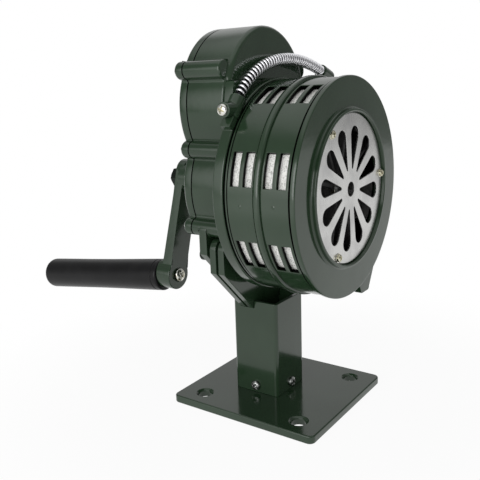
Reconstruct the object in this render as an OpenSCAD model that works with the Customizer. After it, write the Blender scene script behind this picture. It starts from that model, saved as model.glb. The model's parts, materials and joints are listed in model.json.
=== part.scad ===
// Hand crank siren on a square post with a bolt-down base plate.
// The origin is the centre of the plate's underside. +Z is up. The horn faces -Y and the crank
// turns at the rear, towards +Y. Lengths are millimetres and angles are degrees.

/* [Base plate] */
// Plate width, left to right
plate_w = 118; // [104:1:150]
// Plate depth, along the horn's axis
plate_d = 130; // [116:1:170]
// Plate thickness
plate_t = 6.5; // [5:0.5:10]
// Radius of the plate's four corners
plate_corner_r = 5; // [3:0.5:10]
// Radius of the plate's long edges
plate_edge_r = 1.2; // [0.6:0.1:2]
// Bolt hole diameter
bolt_hole_d = 11.5; // [8:0.5:13]
// Bevel round the top of each bolt hole
bolt_hole_bevel = 1.6; // [0.5:0.1:2.4]
// Bolt hole centres, in from the plate's left and right edges
bolt_inset_x = 16; // [12:0.5:19]
// Bolt hole centres, in from the plate's front and rear edges
bolt_inset_y = 20.5; // [13:0.5:25]

/* [Post] */
// Outside width of the square post
post_w = 41; // [38:0.5:46]
// Wall of the post
post_wall = 3; // [2:0.25:4]
// Outer corner radius of the post
post_corner_r = 3; // [1.5:0.25:5]
// Height of the post above the plate
post_h = 78; // [72:1:86]
// Post centre, behind the plate's centre
post_y = 8.7; // [7:0.1:11]
// Depth of the two notches in the post's top that the saddle plates stand in
notch_depth = 6; // [3:0.5:10]
// Height of the inner socket that the post slides over
socket_h = 22; // [18:0.5:26]
// Wall of the inner socket
socket_wall = 4; // [3:0.25:6]
// Height of the post screws above the plate
post_screw_z = 6; // [5:0.25:9]
// Head diameter of the post screws
post_screw_head_d = 8; // [6:0.25:9]
// Shank diameter of the post screws
post_screw_d = 4; // [3:0.25:5]

/* [Saddle] */
// Thickness of each saddle plate
saddle_t = 5.5; // [4.5:0.25:6]
// Width of the saddle plates
saddle_w = 114; // [112:0.5:120]
// Gap between the two saddle plates
saddle_gap = 2; // [1:0.25:2.5]
// Gap between the rear saddle plate and the housing's foot
foot_gap = 2.5; // [1:0.25:3]
// Radial gap between the saddle's curve and the gear housing
saddle_arc_gap = 2; // [1:0.25:3]
// Top of the saddle's ears, below the horn's axis
ear_drop = 35.6; // [35:0.2:38]
// Radius of the ears' tops
ear_r = 8; // [6:0.25:9]
// Reach of the saddle's tongues into the post
tongue_len = 24; // [15:0.5:30]
// Side play of the tongues in the post
tongue_gap = 0.2; // [0.1:0.05:0.5]
// Saddle bolt diameter
saddle_bolt_d = 6; // [5:0.25:7]
// Upper saddle bolts, out from the middle
upper_bolt_x = 46; // [44.5:0.25:48]
// Upper saddle bolts, below the horn's axis
upper_bolt_drop = 49.8; // [48:0.2:51]
// Lower saddle bolts, out from the middle
lower_bolt_x = 28; // [22:0.25:29]
// Lower saddle bolts, below the horn's axis
lower_bolt_drop = 67.8; // [66:0.2:69]

/* [Gears] */
// Gear module
gear_module = 1.5; // [1.45:0.01:1.55]
// Face width of the wheels
wheel_w = 8; // [6:0.5:9]
// Extra face width of the pinions, shared by both sides
pinion_extra_w = 2; // [1:0.5:3]
// Thinning of each tooth, for backlash
tooth_thinning = 0.12; // [0.08:0.01:0.2]
// Diameter of the intermediate shaft
mid_shaft_d = 8; // [6:0.5:9]
// Diameter of the rotor shaft
rotor_shaft_d = 10; // [8:0.5:11]
// Diameter of the crank shaft
crank_shaft_d = 12; // [10:0.5:13]

/* [Gear housing] */
// Height of the horn's axis above the floor
axis_h = 175.8; // [173:0.1:180]
// Wall of the housing round the gears
housing_wall = 3.5; // [2.5:0.25:4]
// Room between a wheel's tips and the wall
gear_room = 4; // [3:0.25:5]
// Depth of the housing, front face to cover seam
housing_depth = 33; // [31.5:0.25:36]
// Depth of the rear cover
cover_depth = 8; // [7:0.25:10]
// Thickness of the rear cover's back wall
cover_wall = 4; // [3:0.25:5]
// Radius of the round dome over the intermediate wheel
dome_r = 52; // [50.5:0.25:53]
// Dome centre above the intermediate shaft
dome_rise = 8.7; // [8:0.1:10]
// How far the dome stands forward of the housing's front face
dome_forward = 3; // [1:0.25:3.5]
// Radius of the dome's front edge
dome_edge_r = 3.5; // [1:0.25:4]
// Radius of the screw bosses
boss_r = 6.5; // [5.5:0.25:7.5]
// Boss centres outside the lobe they stand on
boss_out = 3.2; // [2:0.1:4.5]
// Width of the sloping flank beside each boss
flank_w = 6.5; // [4:0.5:8]
// Radius of the rear cover's edge
cover_edge_r = 2.5; // [1:0.25:3]
// Thickness of the housing's foot
foot_t = 7; // [5:0.25:8]
// Front face of the housing's foot, behind the housing's front face
foot_back = 18.5; // [18:0.25:20]
// Bottom of the foot, below the horn's axis
foot_drop = 75.8; // [74:0.2:78]
// Length of the crank bearing hub behind the rear cover
crank_hub_len = 25; // [18:0.5:30]
// Radius of the crank bearing hub
crank_hub_r = 14; // [12:0.25:16]

/* [Stator] */
// Outer radius of the rear flange and the front cover
horn_r = 80; // [78:0.25:82]
// Rear face of the rear flange, in front of the plate's centre
flange_front = 1; // [0:0.25:2]
// Thickness of the rear flange's rim
flange_t = 8.4; // [7.5:0.1:9]
// Width of the dark seam between flange and drum
seam_w = 1; // [0.6:0.1:1.5]
// Thickness of the bearing carrier's plate
carrier_t = 7; // [6:0.25:8]
// Outer radius of the carrier's hub
carrier_hub_r = 20; // [18:0.25:22]
// Length of the drum
drum_len = 50.6; // [49:0.2:54]
// How far the drum's skin lies inside the horn's radius
drum_inset = 1; // [0.5:0.1:1.5]
// Wall of the drum
drum_wall = 3; // [2:0.25:3.5]
// Width of the raised belt round the drum
belt_w = 5.4; // [4:0.2:6]
// Height of the raised belt
belt_h = 1.8; // [1:0.1:2.4]
// Number of sound port groups
port_groups = 8; // [6:1:9]
// Angle that one port group covers
port_angle = 17; // [12:0.5:20]
// Centre of the first port group, left of the top
port_start = 29.5; // [25:0.5:34]
// Width of each port
port_w = 7; // [5:0.25:7.5]
// Width of the bar between two neighbouring ports
port_bar = 3.2; // [2.5:0.1:4]
// Width of the plain ring in front of the foremost port
port_margin = 2.8; // [2:0.1:3.2]
// Reach of the cast ear below the drum's skin
ear_reach = 10.25; // [6:0.25:12]
// Half width of the cast ear's foot
ear_half_w = 8; // [5:0.25:9]
// Ear centre, right of the middle
ear_x = 39; // [36:0.25:44]

/* [Front cover] */
// Thickness of the cover's rim
rim_t = 4; // [3:0.25:5]
// Radius of the rim's front edge
rim_edge_r = 1; // [0.4:0.1:1.5]
// Depth of the dished face
dish_depth = 2.8; // [2:0.1:4]
// Wall of the dished face
dish_wall = 3; // [2:0.25:3.5]
// Outer radius of the raised lip
lip_r = 57.5; // [57:0.25:60]
// Thickness of the raised lip
lip_t = 2.5; // [1.75:0.25:2.5]
// Height of the lip above the bottom of the dish
lip_h = 5.3; // [4.5:0.1:6.5]
// Width of the seat behind the grille
seat_w = 8; // [7:0.25:8.5]
// Thickness of the seat
seat_t = 2.6; // [2:0.1:3.2]
// Grille thickness
grille_t = 1.5; // [1:0.1:2]
// Radial gap between the grille and the lip
grille_gap = 1; // [0.3:0.1:1.5]
// How far the grille's face lies behind the lip's front
grille_sink = 2.7; // [2:0.1:3.5]
// Diameter of the grille's middle hole
grille_hole_d = 10.7; // [8:0.1:14]
// Number of petals in the grille
petals = 12; // [8:1:12]
// Turn of the petals, right of the top
petal_turn = 8.5; // [0:0.5:29.5]
// Radius where the petals begin
petal_in_r = 14.7; // [13:0.1:18]
// Radius where the petals end
petal_out_r = 45.4; // [40:0.1:46]
// Width of a petal's round end
petal_w = 12.4; // [8:0.1:12.6]
// Width of a petal's pointed end
petal_tip_w = 2; // [1:0.1:3]
// Circle that the three grille screws lie on
grille_screw_r = 51; // [50.5:0.1:51.5]
// First grille screw, left of the top
grille_screw_angle = 36.5; // [30:0.5:45]
// Head diameter of the grille screws
grille_screw_head_d = 5.6; // [4.5:0.1:6]
// Shank diameter of the grille screws
grille_screw_d = 3; // [2.5:0.1:3.5]

/* [Carrying handle] */
// Wire diameter of the wound spring
spring_wire_d = 1.3; // [1:0.05:1.35]
// Mean radius of the spring's turns
spring_r = 3.5; // [3:0.1:3.6]
// Number of turns along the handle
spring_turns = 63; // [40:1:64]
// Radial play between the inner cable and the spring's turns
core_gap = 0.2; // [0.1:0.05:0.4]
// Outer radius of the end sockets
handle_socket_r = 5.6; // [5:0.1:6]
// Length of the end sockets
handle_socket_len = 16; // [12:0.5:18]
// Depth that the inner cable reaches into each socket
core_grip_len = 10; // [6:0.5:12]
// Handle's left end, outside the flange's rim
handle_left_out = 4.3; // [3.5:0.1:5]
// Handle's right end, outside the flange's rim
handle_right_out = 27.2; // [25:0.1:29]
// Height of the handle's bow, as its pull points outside the flange's rim
handle_bow_out = 22; // [19:0.1:25]
// Boss of the left socket's clamp screw, its length from the socket's axis
clamp_boss_len = 11.5; // [9:0.5:13]

/* [Rotor] */
// Running gap between rotor and drum
rotor_gap = 0.8; // [0.5:0.1:1.2]
// Wall of the rotor's ring
rotor_wall = 3.5; // [2.5:0.25:4]
// Thickness of the rotor's back plate
rotor_back_t = 3.6; // [3:0.2:4]
// Angle that each closed stretch of the rotor's ring covers
rotor_blank_angle = 27; // [22:0.5:30]
// Thickness of the rotor's blades
blade_t = 3; // [2:0.25:4]
// Radius of the rotor's hub
rotor_hub_r = 13; // [11:0.25:15]
// Outer diameter of the rotor's ball bearings
bearing_d = 30; // [26:0.5:32]
// Width of the rotor's ball bearings
bearing_w = 9; // [7:0.25:9]

/* [Crank] */
// Lean of the crank arm from straight down, towards the left
crank_lean = 15.5; // [0:0.5:60]
// Distance from the crank shaft to the grip's pin
arm_len = 83; // [70:0.5:95]
// Width of the arm's blade
arm_w = 22; // [19:0.25:23]
// Thickness of the arm at the shaft
arm_top_t = 8; // [6:0.25:9]
// Thickness of the arm at the grip
arm_low_t = 11; // [9.5:0.25:12]
// Reach of the arm past the shaft's centre
arm_over = 16; // [14:0.25:18]
// Distance from the bearing hub to the arm's front face
arm_standoff = 13; // [8:0.25:16]
// Radius of the arm's lower boss
arm_boss_r = 12.5; // [12:0.25:14]
// Length of the arm's lower boss
arm_boss_len = 14.5; // [12:0.25:16]
// Droop of the grip from the shaft's direction
grip_droop = 7; // [0:0.5:9]
// Grip radius
grip_r = 13.6; // [11:0.2:15]
// Grip length
grip_len = 143; // [110:1:150]
// Radius of the grip's far edge
grip_edge_r = 4; // [1:0.25:5]
// Diameter of the pin that the grip turns on
pin_d = 8; // [6:0.5:9]
// Diameter of the pin's head
pin_head_d = 10.8; // [9.5:0.2:13]

/* [Hidden] */
// Radial or end clearance of fixed fits, and of running shafts in their bushes
slip = 0.05;
// Gap between flat faces that turn past each other
end_play = 0.3;
// Overrun of cuts
over = 1;

// Enamel on the castings, plates and post
enamel = "#3f4d41";
// Bright satin sheet
satin_sheet = "#b9bab5";
// Plated screws and spring wire
plated = "#c4c6c4";
// Turned and hobbed steel
steel = "#8d9092";
// Sintered bronze
bronze = "#a5854e";
// Rough cast alloy
cast_alloy = "#b4b5b0";
// Black moulded plastic
black_grip = "#17181a";

// Pan heads of all cross-head screws, as shares of the head's diameter or height
pan_height_share = 0.4;
pan_foot_share = 0.15;
pan_crown_share = 0.7;
slot_width_share = 0.14;
slot_length_share = 0.6;
slot_floor_share = 0.5;

// Base plate and post
socket_gap = 0.2;
socket_w = post_w - 2 * post_wall - 2 * socket_gap;
post_in_w = post_w - 2 * post_wall;
inner_corner_share = 0.4;
post_top = plate_t + post_h;
notch_z = post_top - notch_depth;
notch_gap = 0.3;
post_screw_tip = 1.5;

// Places along the horn's axis, from the rear flange forwards and backwards
flange_back_y = -flange_front;
flange_face_y = flange_back_y - flange_t;
drum_back_y = flange_face_y - seam_w;
drum_face_y = drum_back_y - drum_len;
cover_seam_w = 0.5;
rim_back_y = drum_face_y - cover_seam_w;
rim_face_y = rim_back_y - rim_t;
drum_r = horn_r - drum_inset;
drum_in_r = drum_r - drum_wall;
seam_depth = 1.6;
ear_flare = 9;
ear_corner_r = 3;
ear_back = 1.5;
ear_t = 6.3;

// Gears and their two planes. The teeth counts set the ratio of each of the two stages
wheel_teeth = 60;
pinion_teeth = 16;
pressure_angle = 20;
root_share = 1.2;
front_wheel_gap = 2.5;
wheel_r = gear_module * wheel_teeth / 2;
pinion_r = gear_module * pinion_teeth / 2;
wheel_tip_r = wheel_r + gear_module;
shaft_centres = wheel_r + pinion_r;
mid_z = axis_h + shaft_centres;
housing_y = flange_back_y + carrier_t;
cavity_y = housing_y + housing_wall;
seam_y = housing_y + housing_depth;
cover_in_y = seam_y + cover_depth - cover_wall;
cover_back_y = seam_y + cover_depth;
front_plane_y = cavity_y + front_wheel_gap;
rear_plane_y = cover_in_y - gear_room - pinion_extra_w - wheel_w;

// Gear housing outline
lower_r = wheel_tip_r + gear_room + housing_wall;
upper_extra_r = 0.7;
upper_r = lower_r + upper_extra_r;
upper_rise = 2.2;
upper_z = mid_z + upper_rise;
dome_z = mid_z + dome_rise;
upper_boss_angle = 27.5;
waist_boss_angle = 31.2;
flank_start_share = 0.7;
flank_foot_share = 0.9;
waist_flank_share = 0.8;
lower_boss_angle = -29.3;
boss_step = 1.5;
foot_y = housing_y + foot_back;
foot_bottom_z = axis_h - foot_drop;
foot_top_share = 0.45;
foot_corner_r = 5;
cover_screw_d = 3.6;
cover_screw_head_d = 7;
cover_screw_depth = 14;
cover_screw_spare = 1;

// Saddle plates
saddle_rear_y = foot_y - foot_gap - saddle_t;
saddle_front_y = saddle_rear_y - saddle_gap - saddle_t;
saddle_arc_r = lower_r + saddle_arc_gap;
ear_top_z = axis_h - ear_drop;
tongue_w = post_in_w - 2 * tongue_gap;
shoulder_z = notch_z + (saddle_w - post_w) / 2;
saddle_bolt_head_d = 10;
saddle_bolt_head_h = 5.6;
saddle_bolt_key_d = 5.6;
saddle_bolt_key_depth = 3;
spacer_d = 12;
saddle_bolts_xz = [
    for (s = [-1, 1])
        each [
            [s * upper_bolt_x, axis_h - upper_bolt_drop],
            [s * lower_bolt_x, axis_h - lower_bolt_drop]
        ]
];

// Carrier, bearings and bushes
carrier_cut_back = 2;
carrier_top_z = axis_h + horn_r - carrier_cut_back;
carrier_inset = 1;
carrier_hub_out = 3;
carrier_face_y = drum_back_y - carrier_hub_out;
carrier_back_y = cavity_y + slip;
bearing_race_t = 3;
bearing_groove = 0.8;
bearing_stop_w = 3;
bush_wall = 2;
crank_bush_len = 10;
mid_bush_len = 4.5;
mid_boss_wall = 3;
bush_bottom_gap = 0.5;
flange_web_t = 5;
flange_rim_w = 10;
flange_screw_r = 31;
flange_screw_d = 5;
flange_screw_head_d = 9;
flange_screw_spare = 0.5;

// Front cover and grille
lip_edge_r = 0.8;
dish_r = horn_r - rim_edge_r;
dish_bottom_y = rim_face_y + dish_depth;
lip_face_y = dish_bottom_y - lip_h;
lip_in_r = lip_r - lip_t;
grille_face_y = lip_face_y + grille_sink;
seat_y = grille_face_y + grille_t;
grille_r = lip_in_r - grille_gap;
spigot_r = drum_in_r - slip;
spigot_w = 3;
spigot_len = 1;
petal_out_steps = 16;
petal_in_steps = 5;
washer_t = 0.6;
washer_d = 7;

// Handle
handle_y = (flange_back_y + flange_face_y) / 2;
handle_left_angle = 38.15;
handle_left_pull_angle = 14.5;
handle_right_pull_angle = 14.8;
handle_right_angle = 37.3;
left_lug_angle = 51;
right_lug_angle = 43;
lug_w = 12;
left_lug_out = 4;
clamp_boss_r = 5.2;
clamp_screw_d = 4;
clamp_screw_head_d = 8;
clamp_share = 0.59;
grub_d = 4;
bow_steps = 80;
rings_per_turn = 8;
bend_steps = 4;
wire_sides = 6;
core_steps = 30;
core_sides = 12;
core_r = spring_r * cos(180 / rings_per_turn) - spring_wire_d / 2 - core_gap;
grub_len = handle_socket_r - core_r - slip;
socket_edge_r = handle_socket_r / 3;

// Rotor
rotor_r = drum_in_r - rotor_gap;
rotor_back_y = carrier_face_y - rotor_gap;
rotor_face_gap = 2.2;
rotor_face_y = drum_face_y + rotor_face_gap;
blade_inset = 3;
rotor_rim_w = 2.4;
rotor_nut_d = 16;
rotor_nut_h = 5;
rotor_shaft_end = 2;

// Crank
crank_hub_y = cover_back_y + crank_hub_len;
arm_y = crank_hub_y + arm_standoff;
arm_hub_r = 13;
arm_boss_neck = 1;
pin_head_h = 2.6;
grip_start = arm_boss_len + end_play;
grip_nut_d = 14;
grip_nut_h = 5;
grip_recess = 7;
grip_groove_at = 5;
grip_groove_w = 1.2;
grip_groove_depth = 0.5;
crank_nut_d = 18;
crank_nut_h = 7;
crank_thread_spare = 2;

$fn = 64;

// Shapes that several pieces share

// Points of an arc about [cx, cy] from angle a0 to angle a1, in n steps.
function arc(cx, cy, r, a0, a1, n = 4) =
    [for (i = [0:n]) [cx + r * cos(a0 + (a1 - a0) * i / n), cy + r * sin(a0 + (a1 - a0) * i / n)]];

// Half profile [radius, height] of a disc from h0 to h1 with rounded edges e0 and e1.
function disc_profile(r, h0, h1, e0, e1) = concat(
    [[0, h0]],
    e0 > 0 ? arc(r - e0, h0 + e0, e0, -90, 0) : [[r, h0]],
    e1 > 0 ? arc(r - e1, h1 - e1, e1, 0, 90) : [[r, h1]],
    [[0, h1]]
);

// A place given by an angle from the top, positive to the right, and a radius about the horn.
function polar(angle, r) = [r * sin(angle), axis_h + r * cos(angle)];

// Extrudes an outline drawn in the X-Z plane from y0 to y1.
module along_y(y0, y1) {
    translate([0, y1, 0])
        rotate([90, 0, 0])
            linear_extrude(y1 - y0)
                children();
}

// Turns a profile of [radius, y] points about an axis along Y.
module turned(xz = [0, axis_h]) {
    translate([xz.x, 0, xz.y])
        rotate([-90, 0, 0])
            rotate_extrude()
                children();
}

// Round bar along Y.
module rod(r, y0, y1, xz = [0, axis_h]) {
    translate([xz.x, y0, xz.y])
        rotate([-90, 0, 0])
            cylinder(r = r, h = y1 - y0);
}

// Disc along Y with a rounded front edge e0 and rear edge e1.
module soft_disc(r, y0, y1, e0, e1, xz = [0, axis_h]) {
    turned(xz)
        polygon(disc_profile(r, y0, y1, e0, e1));
}

// Square outline with round corners.
module round_square(w, r) {
    square([w - 2 * r, w], center = true);
    square([w, w - 2 * r], center = true);
    for (sx = [-1, 1], sy = [-1, 1])
        translate([sx * (w / 2 - r), sy * (w / 2 - r)])
            circle(r);
}

// Pan head screw along Z: its head stands above z = 0 and its shank hangs below.
module pan_screw(head_d, shank_d, shank_len) {
    head_h = head_d * pan_height_share;
    slot_w = head_d * slot_width_share;
    slot_len = head_d * slot_length_share;
    difference() {
        rotate_extrude()
            polygon(disc_profile(head_d / 2, 0, head_h, head_h * pan_foot_share, head_h * pan_crown_share));
        for (turn = [0, 90])
            rotate([0, 0, turn])
                translate([-slot_len / 2, -slot_w / 2, head_h * slot_floor_share])
                    cube([slot_len, slot_w, head_h]);
    }
    translate([0, 0, -shank_len])
        cylinder(d = shank_d, h = shank_len + head_h * slot_floor_share / 2);
}

// Places its children along -Y at [x, z], with z = 0 of the child on the plane y.
module facing_front(y, xz) {
    translate([xz.x, y, xz.y])
        rotate([90, 0, 0])
            children();
}

// Places its children along +Y at [x, z], with z = 0 of the child on the plane y.
module facing_rear(y, xz) {
    translate([xz.x, y, xz.y])
        rotate([-90, 0, 0])
            children();
}

// Base plate and post

module at_bolt_holes() {
    for (sx = [-1, 1], sy = [-1, 1])
        translate([sx * (plate_w / 2 - bolt_inset_x), sy * (plate_d / 2 - bolt_inset_y), 0])
            children();
}

module base_plate() {
    color(enamel)
        difference() {
            hull()
                for (sx = [-1, 1], sy = [-1, 1])
                    translate([
                        sx * (plate_w / 2 - plate_corner_r),
                        sy * (plate_d / 2 - plate_corner_r),
                        0
                    ])
                        rotate_extrude($fn = 32)
                            polygon(disc_profile(plate_corner_r, 0, plate_t, plate_edge_r, plate_edge_r));
            at_bolt_holes() {
                translate([0, 0, -over])
                    cylinder(d = bolt_hole_d, h = plate_t + 2 * over);
                translate([0, 0, plate_t - bolt_hole_bevel])
                    cylinder(
                        r1 = bolt_hole_d / 2,
                        r2 = bolt_hole_d / 2 + bolt_hole_bevel + over,
                        h = bolt_hole_bevel + over
                    );
            }
        }
}

// Places its children on the four faces of the post, pointing outwards.
module at_post_screws() {
    for (turn = [0:90:270])
        translate([0, post_y, plate_t + post_screw_z])
            rotate([0, 0, turn])
                translate([0, -post_w / 2, 0])
                    rotate([90, 0, 0])
                        children();
}

module post_socket() {
    color(enamel)
        difference() {
            translate([0, post_y, plate_t])
                linear_extrude(socket_h)
                    difference() {
                        round_square(socket_w, post_corner_r * inner_corner_share);
                        round_square(socket_w - 2 * socket_wall, post_corner_r * inner_corner_share);
                    }
            at_post_screws()
                translate([0, 0, -post_w / 2 + socket_w / 2 - socket_wall - socket_gap - over])
                    cylinder(d = post_screw_d + 2 * slip, h = post_wall + socket_wall + 2 * over);
        }
}

module post() {
    color(enamel)
        difference() {
            translate([0, post_y, plate_t])
                linear_extrude(post_h)
                    difference() {
                        round_square(post_w, post_corner_r);
                        round_square(post_in_w, post_corner_r * inner_corner_share);
                    }
            translate([-post_w / 2 - over, saddle_front_y - notch_gap, notch_z])
                cube([
                    post_w + 2 * over,
                    saddle_rear_y + saddle_t - saddle_front_y + 2 * notch_gap,
                    notch_depth + over
                ]);
            at_post_screws()
                translate([0, 0, -post_wall - over])
                    cylinder(d = post_screw_d + 2 * slip, h = post_wall + 2 * over);
        }
}

module post_screws() {
    color(plated)
        at_post_screws()
            pan_screw(post_screw_head_d, post_screw_d, post_wall + socket_gap + socket_wall + post_screw_tip);
}

// Saddle that carries the horn and the gear housing

module saddle_plate(y) {
    along_y(y, y + saddle_t)
        difference() {
            union() {
                for (s = [-1, 1])
                    translate([s * (saddle_w / 2 - ear_r), ear_top_z - ear_r])
                        circle(ear_r);
                polygon([
                    [-saddle_w / 2, ear_top_z - ear_r],
                    [-saddle_w / 2, shoulder_z],
                    [-post_w / 2, notch_z],
                    [-tongue_w / 2, notch_z],
                    [-tongue_w / 2, notch_z - tongue_len],
                    [tongue_w / 2, notch_z - tongue_len],
                    [tongue_w / 2, notch_z],
                    [post_w / 2, notch_z],
                    [saddle_w / 2, shoulder_z],
                    [saddle_w / 2, ear_top_z - ear_r]
                ]);
            }
            translate([0, axis_h])
                circle(saddle_arc_r);
            for (place = saddle_bolts_xz)
                translate(place)
                    circle(d = saddle_bolt_d + 2 * slip);
        }
}

module saddle_front() {
    color(enamel)
        saddle_plate(saddle_front_y);
}

module saddle_rear() {
    color(enamel)
        saddle_plate(saddle_rear_y);
}

module saddle_spacers() {
    color(plated)
        for (place = saddle_bolts_xz)
            difference() {
                union() {
                    rod(spacer_d / 2, saddle_front_y + saddle_t, saddle_rear_y, place);
                    rod(spacer_d / 2, saddle_rear_y + saddle_t, foot_y, place);
                }
                rod(saddle_bolt_d / 2 + slip, saddle_front_y, foot_y + foot_t, place);
            }
}

module saddle_bolts() {
    color(plated)
        for (place = saddle_bolts_xz)
            difference() {
                union() {
                    rod(saddle_bolt_d / 2, saddle_front_y, foot_y + foot_t + saddle_bolt_key_depth, place);
                    soft_disc(
                        saddle_bolt_head_d / 2,
                        foot_y + foot_t,
                        foot_y + foot_t + saddle_bolt_head_h,
                        0,
                        saddle_bolt_head_h * pan_foot_share,
                        place
                    );
                }
                translate([0, foot_y + foot_t + saddle_bolt_head_h - saddle_bolt_key_depth, 0])
                    translate([place.x, 0, place.y])
                        rotate([-90, 0, 0])
                            cylinder(d = saddle_bolt_key_d, h = saddle_bolt_key_depth + over, $fn = 6);
            }
}

// Gear housing

// Centres of the six cover bosses in the X-Z plane, left ones first.
boss_places = [
    for (s = [-1, 1])
        each [
            [
                s * (upper_r + boss_out) * cos(upper_boss_angle),
                upper_z + (upper_r + boss_out) * sin(upper_boss_angle)
            ],
            [
                s * (lower_r + boss_out) * cos(waist_boss_angle),
                axis_h + (lower_r + boss_out) * sin(waist_boss_angle)
            ],
            [
                s * (lower_r + boss_out) * cos(lower_boss_angle),
                axis_h + (lower_r + boss_out) * sin(lower_boss_angle)
            ]
        ]
];
// Point at an angle above the horizontal on a circle round a lobe's centre.
function on_lobe(z, r, angle) = [r * cos(angle), z + r * sin(angle)];

// Flanks beside a boss: from its own two sides down to two points inside the lobes.
function flanks(centre, angle, low, high) = [
    centre + flank_start_share * boss_r * [sin(angle), -cos(angle)],
    low,
    high,
    centre + flank_start_share * boss_r * [-sin(angle), cos(angle)]
];
flank_turn = (boss_r + flank_w) / lower_r * 180 / PI;
boss_flanks = [
    flanks(
        boss_places[3],
        upper_boss_angle,
        on_lobe(upper_z, flank_foot_share * upper_r, upper_boss_angle - flank_turn),
        on_lobe(upper_z, flank_foot_share * upper_r, upper_boss_angle)
    ),
    flanks(
        boss_places[4],
        waist_boss_angle,
        on_lobe(axis_h, flank_foot_share * lower_r, waist_boss_angle - flank_turn * waist_flank_share),
        on_lobe(upper_z, flank_foot_share * upper_r, -waist_boss_angle + flank_turn * waist_flank_share)
    ),
    flanks(
        boss_places[5],
        lower_boss_angle,
        on_lobe(axis_h, flank_foot_share * lower_r, lower_boss_angle),
        on_lobe(axis_h, flank_foot_share * lower_r, lower_boss_angle + flank_turn)
    )
];

// Outer body of the housing or its cover, from y0 to y1, with edge radii e0 and e1.
module lobed_body(y0, y1, e0, e1) {
    soft_disc(lower_r, y0, y1, e0, e1);
    soft_disc(upper_r, y0, y1, e0, e1, [0, upper_z]);
    for (place = boss_places)
        soft_disc(boss_r, y0, y1, e0, e1, place);
    for (flank = boss_flanks, s = [-1, 1])
        along_y(y0 + e0, y1 - e1)
            polygon([for (corner = flank) [s * corner.x, corner.y]]);
    // Flat ledge between the upper bosses, under the dome
    ledge = boss_places[0];
    along_y(y0 + e0, y1 - e1)
        translate([ledge.x, ledge.y - boss_r])
            square([-2 * ledge.x, 2 * boss_r]);
}

// Space for the gears.
module gear_space(y0, y1) {
    rod(lower_r - housing_wall, y0, y1);
    rod(upper_r - housing_wall, y0, y1, [0, upper_z]);
}

module foot_outline() {
    half = saddle_w / 2;
    top_z = axis_h - lower_r * foot_top_share;
    corner_z = foot_bottom_z + half / 2;
    difference() {
        union() {
            polygon([
                [-half, top_z - foot_corner_r],
                [-half, corner_z],
                [-half / 2, foot_bottom_z],
                [half / 2, foot_bottom_z],
                [half, corner_z],
                [half, top_z - foot_corner_r],
                [half - foot_corner_r, top_z],
                [-half + foot_corner_r, top_z]
            ]);
            for (s = [-1, 1])
                translate([s * (half - foot_corner_r), top_z - foot_corner_r])
                    circle(foot_corner_r);
        }
        for (place = saddle_bolts_xz)
            translate(place)
                circle(d = saddle_bolt_d + 2 * slip);
    }
}

module gear_housing() {
    color(enamel)
        difference() {
            union() {
                lobed_body(housing_y, seam_y, boss_step, 0);
                difference() {
                    soft_disc(dome_r, housing_y - dome_forward, seam_y, dome_edge_r, 0, [0, dome_z]);
                    translate([-dome_r - over, housing_y - dome_forward - over, axis_h])
                        cube([2 * (dome_r + over), dome_forward + over, carrier_top_z - axis_h]);
                }
                along_y(foot_y, foot_y + foot_t)
                    foot_outline();
            }
            gear_space(cavity_y, seam_y + over);
            rod(carrier_hub_r + slip, housing_y - over, cavity_y + over);
            rod(mid_shaft_d / 2 + bush_wall + slip, housing_y - over, cavity_y + over, [0, mid_z]);
            for (place = boss_places)
                rod(cover_screw_d / 2 + slip, seam_y - cover_screw_depth, seam_y + over, place);
            for (turn = [45:90:315])
                rod(
                    flange_screw_d / 2 + slip,
                    housing_y - over,
                    cavity_y + over,
                    polar(turn, flange_screw_r)
                );
        }
}

module rear_cover() {
    color(enamel)
        difference() {
            union() {
                lobed_body(seam_y, cover_back_y, 0, cover_edge_r);
                soft_disc(dome_r, seam_y, cover_back_y, 0, cover_edge_r, [0, dome_z]);
                turned()
                    polygon([
                        [0, seam_y + cover_depth / 2],
                        [crank_hub_r + cover_wall, cover_back_y - cover_wall / 2],
                        [crank_hub_r + cover_wall, cover_back_y],
                        [crank_hub_r, cover_back_y + cover_wall],
                        [crank_hub_r, crank_hub_y - boss_step],
                        [crank_hub_r - boss_step, crank_hub_y],
                        [0, crank_hub_y]
                    ]);
            }
            difference() {
                gear_space(seam_y - over, cover_in_y);
                rod(
                    mid_shaft_d / 2 + bush_wall + mid_boss_wall,
                    cover_in_y - gear_room + end_play,
                    cover_in_y + over,
                    [0, mid_z]
                );
            }
            rod(
                mid_shaft_d / 2 + bush_wall + slip,
                seam_y - over,
                cover_in_y - gear_room + end_play + mid_bush_len + bush_bottom_gap,
                [0, mid_z]
            );
            rod(crank_shaft_d / 2 + bush_wall + slip, seam_y - over, crank_hub_y + over);
            for (place = boss_places)
                rod(cover_screw_d / 2 + slip, seam_y - over, cover_back_y + over, place);
        }
}

module cover_screws() {
    color(plated)
        for (place = boss_places)
            facing_rear(cover_back_y, place)
                pan_screw(
                    cover_screw_head_d,
                    cover_screw_d,
                    cover_depth + cover_screw_depth - cover_screw_spare
                );
}

// Bearing carrier between the rear flange and the gear housing

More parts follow.
